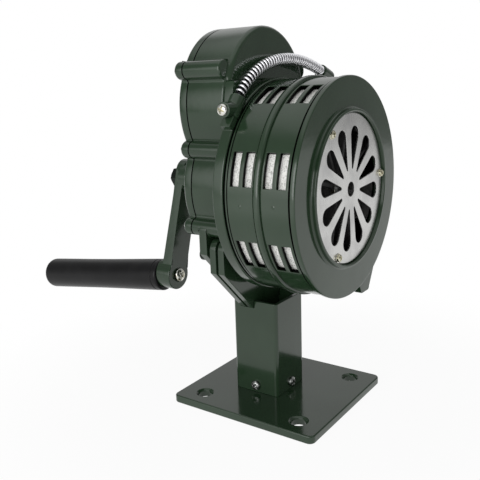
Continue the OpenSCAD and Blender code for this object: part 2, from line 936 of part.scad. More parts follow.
module bearing_carrier() {
    pocket_r = bearing_d / 2 + slip;
    color(enamel)
        difference() {
            union() {
                difference() {
                    union() {
                        rod(lower_r - carrier_inset, flange_back_y, housing_y);
                        rod(upper_r - carrier_inset, flange_back_y, housing_y, [0, upper_z]);
                    }
                    translate([-horn_r, flange_back_y - over, carrier_top_z])
                        cube([2 * horn_r, carrier_t + 2 * over, horn_r]);
                }
                rod(carrier_hub_r, carrier_face_y, carrier_back_y);
            }
            rod(pocket_r, carrier_face_y - over, carrier_face_y + bearing_w);
            rod(pocket_r - bearing_stop_w, carrier_face_y, carrier_back_y);
            rod(pocket_r, carrier_back_y - bearing_w, carrier_back_y + over);
            rod(
                mid_shaft_d / 2 + bush_wall + slip,
                flange_back_y + carrier_t / 2,
                housing_y + over,
                [0, mid_z]
            );
            for (turn = [45:90:315])
                rod(
                    flange_screw_d / 2 + slip,
                    flange_back_y - over,
                    housing_y + over,
                    polar(turn, flange_screw_r)
                );
            socket_body(0, -1, slip);
        }
}

module flange_screws() {
    web_face_y = flange_back_y - flange_web_t;
    color(plated)
        for (turn = [45:90:315]) {
            facing_front(web_face_y, polar(turn, flange_screw_r))
                pan_screw(
                    flange_screw_head_d,
                    flange_screw_d,
                    flange_web_t + carrier_t + housing_wall - flange_screw_spare
                );
        }
}

// Stator: rear flange, drum, front cover and grille

// Straight bar in the X-Z plane that stands on the flange at an angle from the top.
module lug_outline(angle, r0, r1) {
    translate([0, axis_h])
        rotate(-angle)
            translate([-lug_w / 2, r0])
                square([lug_w, r1 - r0]);
}

module rear_flange() {
    color(enamel)
        difference() {
            union() {
                turned()
                    polygon(concat(
                        [
                            [carrier_hub_r + slip, flange_back_y],
                            [carrier_hub_r + slip, flange_back_y - flange_web_t],
                            [horn_r - flange_rim_w, flange_back_y - flange_web_t],
                            [horn_r - flange_rim_w, drum_back_y],
                            [horn_r - seam_depth, drum_back_y],
                            [horn_r - seam_depth, flange_face_y]
                        ],
                        arc(horn_r - rim_edge_r, flange_face_y + rim_edge_r, rim_edge_r, -90, 0),
                        arc(horn_r - rim_edge_r, flange_back_y - rim_edge_r, rim_edge_r, 0, 90)
                    ));
                along_y(flange_face_y, flange_back_y) {
                    lug_outline(-left_lug_angle, horn_r - flange_rim_w, horn_r + left_lug_out);
                    lug_outline(right_lug_angle, horn_r - flange_rim_w, horn_r + handle_right_out);
                }
            }
            socket_body(0, -1, slip);
            clamp_boss(slip);
            socket_body(1, 1, slip);
            translate([0, flange_face_y - over, 0])
                handle_side_cut();
            for (turn = [45:90:315])
                rod(
                    flange_screw_d / 2 + slip,
                    flange_back_y - flange_web_t - over,
                    flange_back_y + over,
                    polar(turn, flange_screw_r)
                );
        }
}

// Trims the right lug level with the upper side of its socket.
module handle_side_cut() {
    end = bow_point(1);
    run = bow_tangent(1);
    translate([end.x, 0, end.y])
        rotate([0, -atan2(run.y, run.x), 0])
            translate([-horn_r, 0, 0])
                cube([2 * horn_r, flange_t + 2 * over, horn_r]);
}

module port_cuts(y0, y1, angle) {
    reach = horn_r + belt_h + over;
    along_y(y0, y1)
        for (k = [0:port_groups - 1])
            translate([0, axis_h])
                rotate(port_start + k * 360 / port_groups)
                    polygon([
                        [reach * tan(angle / 2), reach],
                        [-reach * tan(angle / 2), reach],
                        [-reach * tan(angle / 2) / 2, reach / 2],
                        [reach * tan(angle / 2) / 2, reach / 2]
                    ]);
}

// Front edges of the four port columns.
port_pitch = port_w + port_bar;
port_rear_y = drum_back_y - port_margin - port_bar / 2;
belt_y = (drum_face_y + port_margin + port_rear_y) / 2;
port_fronts = [
    drum_face_y + port_margin,
    drum_face_y + port_margin + port_pitch,
    port_rear_y - port_pitch - port_w,
    port_rear_y - port_w
];

module stator_drum() {
    color(enamel)
        difference() {
            union() {
                turned()
                    polygon([
                        [drum_in_r, drum_face_y],
                        [drum_r, drum_face_y],
                        [drum_r, belt_y - belt_w / 2],
                        [drum_r + belt_h - boss_step / 2, belt_y - belt_w / 2],
                        [drum_r + belt_h, belt_y - belt_w / 2 + boss_step / 2],
                        [drum_r + belt_h, belt_y + belt_w / 2 - boss_step / 2],
                        [drum_r + belt_h - boss_step / 2, belt_y + belt_w / 2],
                        [drum_r, belt_y + belt_w / 2],
                        [drum_r, drum_back_y],
                        [horn_r - flange_rim_w, drum_back_y],
                        [horn_r - flange_rim_w, drum_back_y - drum_wall],
                        [drum_in_r, drum_back_y - drum_wall]
                    ]);
                cast_ear();
            }
            for (front = port_fronts)
                port_cuts(front, front + port_w, port_angle);
        }
}

// Foot cast on the drum's lower right, near its front edge, wider towards the drum.
module cast_ear() {
    tip_z = axis_h - drum_r - ear_reach;
    difference() {
        along_y(drum_face_y + ear_back, drum_face_y + ear_back + ear_t)
            polygon(concat(
                arc(ear_x - ear_half_w + ear_corner_r, tip_z + ear_corner_r, ear_corner_r, 180, 270),
                arc(ear_x + ear_half_w - ear_corner_r, tip_z + ear_corner_r, ear_corner_r, 270, 360),
                [
                    [ear_x + ear_half_w + ear_flare, tip_z + ear_reach + ear_flare],
                    [ear_x + ear_half_w + ear_flare, tip_z + drum_r / 2],
                    [ear_x - ear_half_w - ear_flare, tip_z + drum_r / 2],
                    [ear_x - ear_half_w - ear_flare, tip_z + ear_reach + ear_flare]
                ]
            ));
        rod(drum_in_r + drum_wall / 2, drum_face_y - over, drum_back_y);
    }
}

module front_cover() {
    slope = dish_depth / (dish_r - lip_r);
    back_y = dish_bottom_y + dish_wall;
    color(enamel)
        difference() {
            turned()
                polygon(concat(
                    [[horn_r, rim_back_y]],
                    arc(horn_r - rim_edge_r, rim_face_y + rim_edge_r, rim_edge_r, 0, -90),
                    [[lip_r, dish_bottom_y]],
                    arc(lip_r - lip_edge_r, lip_face_y + lip_edge_r, lip_edge_r, 0, -90),
                    arc(lip_in_r + lip_edge_r, lip_face_y + lip_edge_r, lip_edge_r, -90, -180),
                    [
                        [lip_in_r, seat_y],
                        [lip_in_r - seat_w, seat_y],
                        [lip_in_r - seat_w, seat_y + seat_t],
                        [lip_r, back_y],
                        [spigot_r - spigot_w, back_y - slope * (spigot_r - spigot_w - lip_r)],
                        [spigot_r - spigot_w, rim_back_y + spigot_len],
                        [spigot_r, rim_back_y + spigot_len],
                        [spigot_r, rim_back_y]
                    ]
                ));
            at_grille_screws()
                translate([0, 0, -grille_t - seat_t - horn_r / 2])
                    cylinder(d = grille_screw_d + 2 * slip, h = horn_r / 2 + seat_t + grille_t);
        }
}

// Places its children on the grille's face at its three screws.
module at_grille_screws() {
    for (k = [0:2])
        facing_front(grille_face_y, polar(k * 360 / 3 - grille_screw_angle, grille_screw_r))
            children();
}

// Petal outline along +Y: a wide round end, a narrow round end and the sides that touch both.
module petal() {
    out_r = petal_w / 2;
    in_r = petal_tip_w / 2;
    out_y = petal_out_r - out_r;
    in_y = petal_in_r + in_r;
    lean = asin((out_r - in_r) / (out_y - in_y));
    polygon(concat(
        arc(0, out_y, out_r, -lean, 180 + lean, petal_out_steps),
        arc(0, in_y, in_r, 180 + lean, 360 - lean, petal_in_steps)
    ));
}

module grille() {
    color(satin_sheet)
        difference() {
            along_y(grille_face_y, seat_y)
                translate([0, axis_h])
                    difference() {
                        circle(grille_r);
                        circle(d = grille_hole_d);
                        for (k = [0:petals - 1])
                            rotate(k * 360 / petals - petal_turn)
                                petal();
                    }
            at_grille_screws()
                translate([0, 0, -grille_t - over])
                    cylinder(d = grille_screw_d + 2 * slip, h = grille_t + 2 * over);
        }
}

module grille_washers() {
    color(plated)
        at_grille_screws()
            difference() {
                cylinder(d = washer_d, h = washer_t);
                translate([0, 0, -over])
                    cylinder(d = grille_screw_d + 2 * slip, h = washer_t + 2 * over);
            }
}

module grille_screws() {
    color(plated)
        at_grille_screws()
            translate([0, 0, washer_t])
                pan_screw(grille_screw_head_d, grille_screw_d, washer_t + grille_t + seat_t);
}

// Carrying handle: a cable inside a wound spring, bent over the horn in one plane

// Pull points of the handle's bow, in the X-Z plane.
bow = [
    polar(-handle_left_angle, horn_r + handle_left_out),
    polar(-handle_left_pull_angle, horn_r + handle_bow_out),
    polar(handle_right_pull_angle, horn_r + handle_bow_out),
    polar(handle_right_angle, horn_r + handle_right_out)
];

// Point of the cubic bow at t from 0 to 1.
function bow_point(t) =
    pow(1 - t, 3) * bow[0]
    + 3 * pow(1 - t, 2) * t * bow[1]
    + 3 * (1 - t) * t * t * bow[2]
    + pow(t, 3) * bow[3];

// Unit direction of the bow at t.
function bow_tangent(t) = unit(
    pow(1 - t, 2) * (bow[1] - bow[0]) + 2 * (1 - t) * t * (bow[2] - bow[1]) + t * t * (bow[3] - bow[2])
);

function unit(v) = v / norm(v);

// Length along the bow up to each of its steps, as [length, t] pairs.
function bow_lengths(i = 0, total = 0) =
    i > bow_steps
        ? []
        : let (
            here = i == 0 ? 0 : total + norm(bow_point(i / bow_steps) - bow_point((i - 1) / bow_steps))
        ) concat([[here, i / bow_steps]], bow_lengths(i + 1, here));
bow_table = bow_lengths();
bow_len = bow_table[bow_steps][0];

// Point and direction at a length s, running on straight past both ends.
function bow_at(s) =
    s < 0
        ? bow[0] + s * bow_tangent(0)
        : s > bow_len
            ? bow[3] + (s - bow_len) * bow_tangent(1)
            : bow_point(lookup(s, bow_table));
function bow_dir(s) = bow_tangent(lookup(min(max(s, 0), bow_len), bow_table));

// Point beside the bow: at length s, turned by an angle about the bow at a radius.
function beside(s, angle, r) =
    let (c = bow_at(s), d = bow_dir(s))
        [
            c.x - d.y * r * cos(angle),
            handle_y + r * sin(angle),
            c.y + d.x * r * cos(angle)
        ];

// Closed tube of given radius and number of sides through a list of points.
module tube_along(points, r, sides) {
    n = len(points);
    dirs = [for (i = [0:n - 1]) unit(points[min(i + 1, n - 1)] - points[max(i - 1, 0)])];
    frames = carried(dirs, 1, [first_side(dirs[0])]);
    rings = [
        for (i = [0:n - 1], k = [0:sides - 1])
            let (a = k * 360 / sides)
                points[i] + r * (cos(a) * frames[i] + sin(a) * cross(dirs[i], frames[i]))
    ];
    faces = concat(
        [[for (k = [0:sides - 1]) sides - 1 - k]],
        [[for (k = [0:sides - 1]) (n - 1) * sides + k]],
        [
            for (i = [0:n - 2], k = [0:sides - 1])
                let (a = i * sides + k, b = i * sides + (k + 1) % sides)
                    each [[a, b, b + sides], [a, b + sides, a + sides]]
        ]
    );
    polyhedron(rings, faces);
}

// A side direction square to d.
function first_side(d) = unit(cross(d, abs(d.y) < 0.9 ? [0, 1, 0] : [1, 0, 0]));

// Side directions carried along the tube without twist.
function carried(dirs, i, sides) =
    i >= len(dirs)
        ? sides
        : let (old = sides[i - 1], d = dirs[i])
            carried(dirs, i + 1, concat(sides, [unit(old - (old * d) * d)]));

// Path of the wound spring. It is worked out on the unrolled surface of its own turns, as
// [way round, length along the bow]: straight out of the socket, a quarter bend into the
// winding, the turns, and the same again at the other end.
spring_bend_r = spring_wire_d;
spring_lead = spring_wire_d + spring_bend_r;
wound_len = bow_len - 2 * spring_lead;
turn_pitch = wound_len / spring_turns;
wound_around = spring_turns * 2 * PI * spring_r;
spring_flat = concat(
    [[-spring_bend_r, 0]],
    [
        for (i = [0:bend_steps])
            let (a = 90 * i / bend_steps)
                [-spring_bend_r * cos(a), spring_wire_d + spring_bend_r * sin(a)]
    ],
    [
        for (i = [1:spring_turns * rings_per_turn - 1])
            let (share = i / (spring_turns * rings_per_turn))
                [share * wound_around, spring_lead + share * wound_len]
    ],
    [
        for (i = [0:bend_steps])
            let (a = 90 * i / bend_steps)
                [
                    wound_around + spring_bend_r * sin(a),
                    bow_len - spring_wire_d - spring_bend_r * cos(a)
                ]
    ],
    [[wound_around + spring_bend_r, bow_len]]
);
spring_path = [for (p = spring_flat) beside(p[1], p[0] / spring_r * 180 / PI, spring_r)];

// Least gap between the spring's wire and the next turn, measured between its points.
spring_gap = min([
    for (i = [0:len(spring_path) - 1])
        for (j = [i + rings_per_turn / 2:min(i + 2 * rings_per_turn, len(spring_path) - 1)])
            norm(spring_path[i] - spring_path[j])
]) - spring_wire_d;

module handle_spring() {
    echo(str("Least gap between the spring's turns: ", spring_gap, " mm"));
    color(plated)
        tube_along(spring_path, spring_wire_d / 2, wire_sides);
}

module handle_core() {
    full_len = bow_len + 2 * core_grip_len;
    color(steel)
        tube_along(
            [for (i = [0:core_steps]) beside(-core_grip_len + full_len * i / core_steps, 0, 0)],
            core_r,
            core_sides
        );
}

// Outside of a socket at one end of the bow, grown by a clearance.
module socket_body(t, side, grow) {
    end = bow_point(t);
    run = bow_tangent(t);
    translate([end.x, handle_y, end.y])
        rotate([0, 90 - atan2(run.y, run.x), 0])
            rotate([side < 0 ? 180 : 0, 0, 0])
                rotate_extrude()
                    polygon(disc_profile(
                        handle_socket_r + grow, -grow, handle_socket_len + grow, 0, socket_edge_r
                    ));
}

// Hole in a socket for the inner cable.
module socket_bore(t, side) {
    end = bow_point(t);
    run = bow_tangent(t);
    translate([end.x, handle_y, end.y])
        rotate([0, 90 - atan2(run.y, run.x), 0])
            rotate([side < 0 ? 180 : 0, 0, 0])
                translate([0, 0, -over])
                    cylinder(r = core_r + core_gap, h = core_grip_len + core_gap + over);
}

// Centre of the left socket's clamp screw, on the socket's axis.
clamp_xz = bow[0] - handle_socket_len * clamp_share * bow_tangent(0);

module clamp_boss(grow) {
    translate([clamp_xz.x - clamp_boss_len - grow, handle_y, clamp_xz.y])
        rotate([0, 90, 0])
            cylinder(r = clamp_boss_r + grow, h = clamp_boss_len + grow);
}

module handle_socket_left() {
    color(enamel)
        difference() {
            union() {
                socket_body(0, -1, 0);
                clamp_boss(0);
            }
            socket_bore(0, -1);
            translate([clamp_xz.x - clamp_boss_len - over, handle_y, clamp_xz.y])
                rotate([0, 90, 0])
                    cylinder(d = clamp_screw_d + 2 * slip, h = clamp_boss_len + over);
        }
}

module handle_socket_right() {
    color(enamel)
        difference() {
            socket_body(1, 1, 0);
            socket_bore(1, 1);
            at_grub()
                translate([0, 0, -handle_socket_r])
                    cylinder(d = grub_d + 2 * slip, h = handle_socket_r + over);
        }
}

// Places its children on the rear side of the right socket, pointing to the rear.
module at_grub() {
    facing_rear(handle_y + handle_socket_r, bow[3] + core_grip_len / 2 * bow_tangent(1))
        children();
}

module handle_screws() {
    color(plated) {
        translate([clamp_xz.x - clamp_boss_len, handle_y, clamp_xz.y])
            rotate([0, -90, 0])
                pan_screw(clamp_screw_head_d, clamp_screw_d, clamp_boss_len - 2 * core_r);
        at_grub()
            translate([0, 0, -grub_len])
                cylinder(d = grub_d, h = grub_len);
    }
}

// Bearings and bushes

// Ball bearing along Y: two races with a sunk shield between them.
module ball_bearing(y0, bore_d) {
    in_r = bore_d / 2 + slip;
    out_r = bearing_d / 2;
    y1 = y0 + bearing_w;
    turned()
        polygon([
            [in_r, y0],
            [in_r + bearing_race_t, y0],
            [in_r + bearing_race_t, y0 + bearing_groove],
            [out_r - bearing_race_t, y0 + bearing_groove],
            [out_r - bearing_race_t, y0],
            [out_r, y0],
            [out_r, y1],
            [out_r - bearing_race_t, y1],
            [out_r - bearing_race_t, y1 - bearing_groove],
            [in_r + bearing_race_t, y1 - bearing_groove],
            [in_r + bearing_race_t, y1],
            [in_r, y1]
        ]);
}

module rotor_bearings() {
    color(steel) {
        ball_bearing(carrier_face_y, rotor_shaft_d);
        ball_bearing(carrier_back_y - bearing_w, rotor_shaft_d);
    }
}

module bush(bore_d, y0, y1, xz = [0, axis_h]) {
    difference() {
        rod(bore_d / 2 + bush_wall, y0, y1, xz);
        rod(bore_d / 2 + slip, y0 - over, y1 + over, xz);
    }
}

module intermediate_bushes() {
    rear_y = cover_in_y - gear_room + end_play;
    color(bronze) {
        bush(mid_shaft_d, cavity_y - mid_bush_len, cavity_y, [0, mid_z]);
        bush(mid_shaft_d, rear_y, rear_y + mid_bush_len, [0, mid_z]);
    }
}

module crank_bushes() {
    color(bronze) {
        bush(crank_shaft_d, cover_in_y, cover_in_y + crank_bush_len);
        bush(crank_shaft_d, crank_hub_y - crank_bush_len, crank_hub_y);
    }
}

// Gear teeth

// Involute function in degrees.
function inv(a) = tan(a) * 180 / PI - a;

// Half angle of a tooth at radius r.
function half_tooth(n, r) =
    let (
        pitch_r = gear_module * n / 2,
        base_r = pitch_r * cos(pressure_angle),
        at = acos(min(1, base_r / r)),
        thin = tooth_thinning / 2 / pitch_r * 180 / PI
    ) 90 / n - thin + inv(pressure_angle) - inv(at);

// Outline of a spur gear with a tooth at angle 0, plus a turn.
module gear_outline(n, turn) {
    pitch_r = gear_module * n / 2;
    root_r = pitch_r - root_share * gear_module;
    base_r = pitch_r * cos(pressure_angle);
    radii = [root_r, max(base_r, root_r + gear_module * root_share / 3), pitch_r, pitch_r + gear_module];
    polygon([
        for (k = [0:n - 1])
            each concat(
                [
                    for (r = radii)
                        let (a = turn + k * 360 / n - half_tooth(n, r)) [r * cos(a), r * sin(a)]
                ],
                [
                    for (i = [len(radii) - 1:-1:0])
                        let (a = turn + k * 360 / n + half_tooth(n, radii[i]))
                            [radii[i] * cos(a), radii[i] * sin(a)]
                ]
            )
    ]);
}

// Gear along Y with a hub behind it and a bore.
module gear(n, turn, y0, y1, z, bore_d, hub_r, hub_y0, hub_y1) {
    difference() {
        union() {
            translate([0, 0, z])
                along_y(y0, y1)
                    gear_outline(n, turn);
            rod(hub_r, hub_y0, hub_y1, [0, z]);
        }
        rod(bore_d / 2 + slip, min(y0, hub_y0) - over, max(y1, hub_y1) + over, [0, z]);
    }
}

// Rotor

module rotor() {
    ring_in_r = rotor_r - rotor_wall;
    color(cast_alloy)
        difference() {
            union() {
                turned()
                    polygon([
                        [0, rotor_back_y],
                        [rotor_r, rotor_back_y],
                        [rotor_r, rotor_face_y],
                        [ring_in_r, rotor_face_y],
                        [ring_in_r, rotor_back_y - rotor_back_t],
                        [rotor_hub_r, rotor_back_y - rotor_back_t],
                        [rotor_hub_r, rotor_face_y + rotor_nut_h + blade_inset],
                        [0, rotor_face_y + rotor_nut_h + blade_inset]
                    ]);
                for (k = [0:port_groups - 1])
                    along_y(rotor_face_y + blade_inset, rotor_back_y - rotor_back_t / 2)
                        translate([0, axis_h])
                            rotate(port_start + k * 360 / port_groups)
                                translate([-blade_t / 2, rotor_hub_r - blade_t])
                                    square([blade_t, ring_in_r - rotor_hub_r + blade_t + rotor_wall / 2]);
            }
            difference() {
                rotor_ports();
                rod(ring_in_r - over / 2, rotor_face_y - over, rotor_back_y + over);
            }
            rod(rotor_shaft_d / 2 + slip, rotor_face_y - over, rotor_back_y + over);
        }
}

// Windows in the rotor's ring, between its closed stretches.
module rotor_ports() {
    open_angle = 360 / port_groups - rotor_blank_angle;
    translate([0, 0, axis_h])
        rotate([0, -180 / port_groups, 0])
            translate([0, 0, -axis_h])
                port_cuts(rotor_face_y + rotor_rim_w, rotor_back_y - rotor_back_t - rotor_rim_w, open_angle);
}

module rotor_shaft() {
    color(steel)
        rod(rotor_shaft_d / 2, rotor_face_y - rotor_shaft_end, front_plane_y + wheel_w + pinion_extra_w);
}

module rotor_pinion() {
    color(steel)
        gear(
            pinion_teeth,
            90 + 180 / pinion_teeth,
            front_plane_y - pinion_extra_w / 2,
            front_plane_y + wheel_w + pinion_extra_w / 2,
            axis_h,
            rotor_shaft_d,
            pinion_r - gear_module * root_share,
            front_plane_y - pinion_extra_w / 2,
            front_plane_y + wheel_w + pinion_extra_w
        );
}

module rotor_nut() {
    nut_y = rotor_face_y + blade_inset + rotor_nut_h;
    color(plated)
        difference() {
            facing_front(nut_y, [0, axis_h])
                cylinder(d = rotor_nut_d, h = rotor_nut_h, $fn = 6);
            rod(rotor_shaft_d / 2 + slip, nut_y - rotor_nut_h - over, nut_y + over);
        }
}

// Intermediate shaft

module intermediate_shaft() {
    color(steel)
        rod(
            mid_shaft_d / 2,
            cavity_y - mid_bush_len + end_play,
            cover_in_y - gear_room + mid_bush_len,
            [0, mid_z]
        );
}

module intermediate_wheel() {
    color(steel)
        gear(
            wheel_teeth,
            90,
            front_plane_y,
            front_plane_y + wheel_w,
            mid_z,
            mid_shaft_d,
            pinion_r,
            cavity_y + end_play,
            rear_plane_y - pinion_extra_w / 2
        );
}

module intermediate_pinion() {
    color(steel)
        gear(
            pinion_teeth,
            90 + 180 / pinion_teeth,
            rear_plane_y - pinion_extra_w / 2,
            rear_plane_y + wheel_w + pinion_extra_w / 2,
            mid_z,
            mid_shaft_d,
            pinion_r - gear_module * root_share,
            rear_plane_y - pinion_extra_w / 2,
            rear_plane_y + wheel_w + pinion_extra_w
        );
}

// Crank

// Places its children in the arm's own frame: the shaft at the origin, the arm down along -Z.
module at_crank() {
    translate([0, 0, axis_h])
        rotate([0, crank_lean, 0])
            children();
}

// Places its children in the grip's own frame: +Y runs along the grip from the arm's front face.
module at_grip() {
    at_crank()
        translate([0, arm_y, -arm_len])
            rotate([-grip_droop, 0, 0])
                children();
}

module crank_shaft() {
    color(steel)
        rod(
            crank_shaft_d / 2,
            rear_plane_y - pinion_extra_w / 2,
            arm_y + arm_top_t + crank_nut_h + crank_thread_spare
        );
}

module crank_wheel() {
    color(steel)
        gear(
            wheel_teeth,
            90,
            rear_plane_y,
            rear_plane_y + wheel_w,
            axis_h,
            crank_shaft_d,
            pinion_r,
            rear_plane_y - pinion_extra_w / 2,
            cover_in_y - end_play
        );
}

module crank_arm() {
    half = arm_w / 2;
    cap_z = arm_over - half;
    color(enamel)
        at_crank()
            difference() {
                union() {
                    // Blade: its outline, kept to the side profile that thickens towards the grip
                    intersection() {
                        along_y(arm_y, arm_y + arm_low_t) {
                            translate([0, cap_z])
                                circle(half);
                            polygon([
                                [-half, cap_z],
                                [half, cap_z],
                                [half - arm_boss_neck, -arm_len],
                                [-half + arm_boss_neck, -arm_len]
                            ]);
                        }
                        rotate([90, 0, 90])
                            translate([0, 0, -arm_w])
                                linear_extrude(2 * arm_w)
                                    polygon([
                                        [arm_y - over, arm_over + over],
                                        [arm_y + arm_top_t, arm_over + over],
                                        [arm_y + arm_top_t, -arm_over],
                                        [arm_y + arm_low_t, -arm_len],
                                        [arm_y - over, -arm_len]
                                    ]);
                    }
                    soft_disc(arm_hub_r, crank_hub_y + end_play, arm_y + arm_top_t / 2, boss_step, 0, [0, 0]);
                    soft_disc(
                        arm_boss_r,
                        arm_y,
                        arm_y + arm_boss_len + arm_boss_r,
                        boss_step / 2,
                        0,
                        [0, -arm_len]
                    );
                }
                rod(crank_shaft_d / 2 + slip, crank_hub_y, arm_y + arm_low_t + over, [0, 0]);
                // Lower boss: faced off square to the grip and drilled for its pin
                translate([0, arm_y, -arm_len])
                    rotate([-grip_droop, 0, 0]) {
                        translate([-2 * arm_boss_r, arm_boss_len, -2 * arm_boss_r])
                            cube([4 * arm_boss_r, 2 * arm_boss_r, 4 * arm_boss_r]);
                        rod(pin_d / 2 + slip, -arm_boss_r, arm_boss_len + over, [0, 0]);
                        rod(pin_head_d / 2 + slip, -arm_boss_r, pin_head_h / 2, [0, 0]);
                    }
            }
}

module crank_nut() {
    color(plated)
        difference() {
            facing_rear(arm_y + arm_top_t, [0, axis_h])
                cylinder(d = crank_nut_d, h = crank_nut_h, $fn = 6);
            rod(crank_shaft_d / 2 + slip, arm_y, arm_y + arm_top_t + crank_nut_h + over);
        }
}

module grip_pin() {
    color(plated)
        at_grip()
            difference() {
                union() {
                    rod(pin_d / 2, 0, grip_start + grip_len - grip_recess + grip_nut_h, [0, 0]);
                    soft_disc(
                        pin_head_d / 2,
                        pin_head_h / 2 - 2 * pin_head_h,
                        pin_head_h / 2,
                        pin_head_h / 2,
                        0,
                        [0, 0]
                    );
                }
                for (turn = [0, 90])
                    rotate([0, turn, 0])
                        translate([
                            -pin_head_d * slot_length_share / 2,
                            -pin_head_d / 2,
                            -pin_head_d * slot_width_share / 2
                        ])
                            cube([
                                pin_head_d * slot_length_share,
                                pin_head_d / 2 - pin_head_h / 2,
                                pin_head_d * slot_width_share
                            ]);
            }
}

module grip() {
    y0 = grip_start;
    y1 = grip_start + grip_len;
    groove_y = y0 + grip_groove_at;
    color(black_grip)
        at_grip()
            difference() {
                turned([0, 0])
                    polygon(concat(
                        [[0, y0]],
                        arc(grip_r - boss_step, y0 + boss_step, boss_step, -90, 0),
                        [
                            [grip_r, groove_y],
                            [grip_r - grip_groove_depth, groove_y + grip_groove_w / 2],
                            [grip_r, groove_y + grip_groove_w]
                        ],
                        arc(grip_r - grip_edge_r, y1 - grip_edge_r, grip_edge_r, 0, 90),
                        [[0, y1]]
                    ));
                rod(pin_d / 2 + slip, y0 - over, y1 + over, [0, 0]);
                rod(grip_nut_d / 2 + end_play, y1 - grip_recess, y1 + over, [0, 0]);
            }
}

module grip_nut() {
    y0 = grip_start + grip_len - grip_recess + end_play;
    color(plated)
        at_grip()
            difference() {
                facing_rear(y0, [0, 0])
                    cylinder(d = grip_nut_d, h = grip_nut_h, $fn = 6);
                rod(pin_d / 2 + slip, y0 - over, y0 + grip_nut_h + over, [0, 0]);
            }
}

base_plate();
post_socket();
post();
post_screws();
saddle_front();
saddle_rear();
saddle_spacers();
saddle_bolts();
gear_housing();
rear_cover();
cover_screws();
bearing_carrier();
flange_screws();
rear_flange();
stator_drum();
front_cover();
grille();
grille_washers();
grille_screws();
handle_core();
handle_spring();
handle_socket_left();
handle_socket_right();
handle_screws();
rotor_bearings();
intermediate_bushes();
crank_bushes();
rotor();
rotor_shaft();
rotor_pinion();
rotor_nut();
intermediate_shaft();
intermediate_wheel();
intermediate_pinion();
crank_shaft();
crank_wheel();
crank_arm();
crank_nut();
grip_pin();
grip_nut();
grip();
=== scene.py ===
"""Looks of a hand crank siren on a square post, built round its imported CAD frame.

The frame is in metres with +Z up. The horn faces -Y and the crank turns at the rear, towards +Y.
Sizes in the classes below are millimetres, and they become metres where a mesh is made. The lamp of
the studio and the shades on its floor are placed in metres.
"""

import json
import logging
import math
from dataclasses import dataclass, field
from enum import Enum

import bmesh
import bpy
import numpy as np
from mathutils import Matrix, Vector

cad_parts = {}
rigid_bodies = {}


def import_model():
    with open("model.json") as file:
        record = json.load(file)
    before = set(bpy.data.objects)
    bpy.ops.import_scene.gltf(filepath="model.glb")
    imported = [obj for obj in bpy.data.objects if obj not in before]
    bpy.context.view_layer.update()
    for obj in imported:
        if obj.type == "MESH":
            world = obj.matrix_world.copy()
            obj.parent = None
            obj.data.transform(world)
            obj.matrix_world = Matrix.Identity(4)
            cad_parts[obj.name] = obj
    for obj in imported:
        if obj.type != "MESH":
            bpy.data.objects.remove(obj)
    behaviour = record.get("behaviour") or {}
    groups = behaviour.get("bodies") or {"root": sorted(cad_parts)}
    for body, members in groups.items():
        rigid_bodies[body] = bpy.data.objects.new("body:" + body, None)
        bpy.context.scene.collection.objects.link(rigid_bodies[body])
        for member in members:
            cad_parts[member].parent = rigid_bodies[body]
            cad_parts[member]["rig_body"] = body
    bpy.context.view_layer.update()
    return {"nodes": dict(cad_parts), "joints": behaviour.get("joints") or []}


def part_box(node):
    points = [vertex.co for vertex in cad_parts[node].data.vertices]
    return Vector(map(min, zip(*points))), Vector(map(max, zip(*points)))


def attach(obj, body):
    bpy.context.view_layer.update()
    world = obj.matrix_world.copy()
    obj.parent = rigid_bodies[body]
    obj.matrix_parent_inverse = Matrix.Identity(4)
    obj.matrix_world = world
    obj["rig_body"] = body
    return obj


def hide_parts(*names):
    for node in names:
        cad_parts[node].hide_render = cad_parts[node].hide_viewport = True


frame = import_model()
MM = 0.001
log = logging.getLogger("siren")

# Points nearer than this many metres to each other are one
WELD = 2e-6
# Faces of a CAD mesh that bend less than this from each other are one
FLAT_DEG = 0.7
# Edges of a CAD mesh that bend less than this aren't rounded
SOFT_DEG = 32.0
# Edges of turned pieces and of wires or screws that bend more than this stay sharp
TURNED_SHARP_DEG = 50.0
WIRE_SHARP_DEG = 60.0
# The ends of an edge that runs round the horn differ by less than this many millimetres in Y
LEVEL = 0.01
# Radius of the horn's front cover, which the carrying handle stands over
COVER_R = 80.0
# Direction of the horn's axis, from the mouth to the crank
REARWARD = np.array([0.0, 1.0, 0.0])

Colour = tuple[float, float, float, float]
Triple = tuple[float, float, float]
Span = tuple[float, float]
Surface = tuple[np.ndarray, np.ndarray]


class Slot(Enum):
    """Material slots of the part's record."""

    ENAMEL = "enamel"
    SATIN = "satin_sheet"
    PLATED = "plated"
    STEEL = "steel"
    BRONZE = "bronze"
    ALLOY = "cast_alloy"
    GRIP = "black_grip"


def shade(red: int, green: int, blue: int) -> Colour:
    """Turns a colour as a screen shows it, 0 to 255, into scene-linear red, green, blue and alpha.

    Args:
        red: Red as shown.
        green: Green as shown.
        blue: Blue as shown.

    Returns:
        The linear colour.
    """
    shown = np.array([red, green, blue]) / 255
    linear = np.where(shown <= 0.04045, shown / 12.92, ((shown + 0.055) / 1.055) ** 2.4)
    return (*map(float, linear), 1.0)


# Shader maths


@dataclass(frozen=True)
class Waves:
    """Smooth noise over a surface, by its waves per metre alike each way or along X, Y and Z.

    Detail is its octaves, and keep is the share of its strength that each finer octave keeps. The
    height is what its whole range is worth where it stands as a bump.
    """

    scale: float | Triple
    detail: float = 2.0
    keep: float = 0.5
    height_mm: float = 0.0


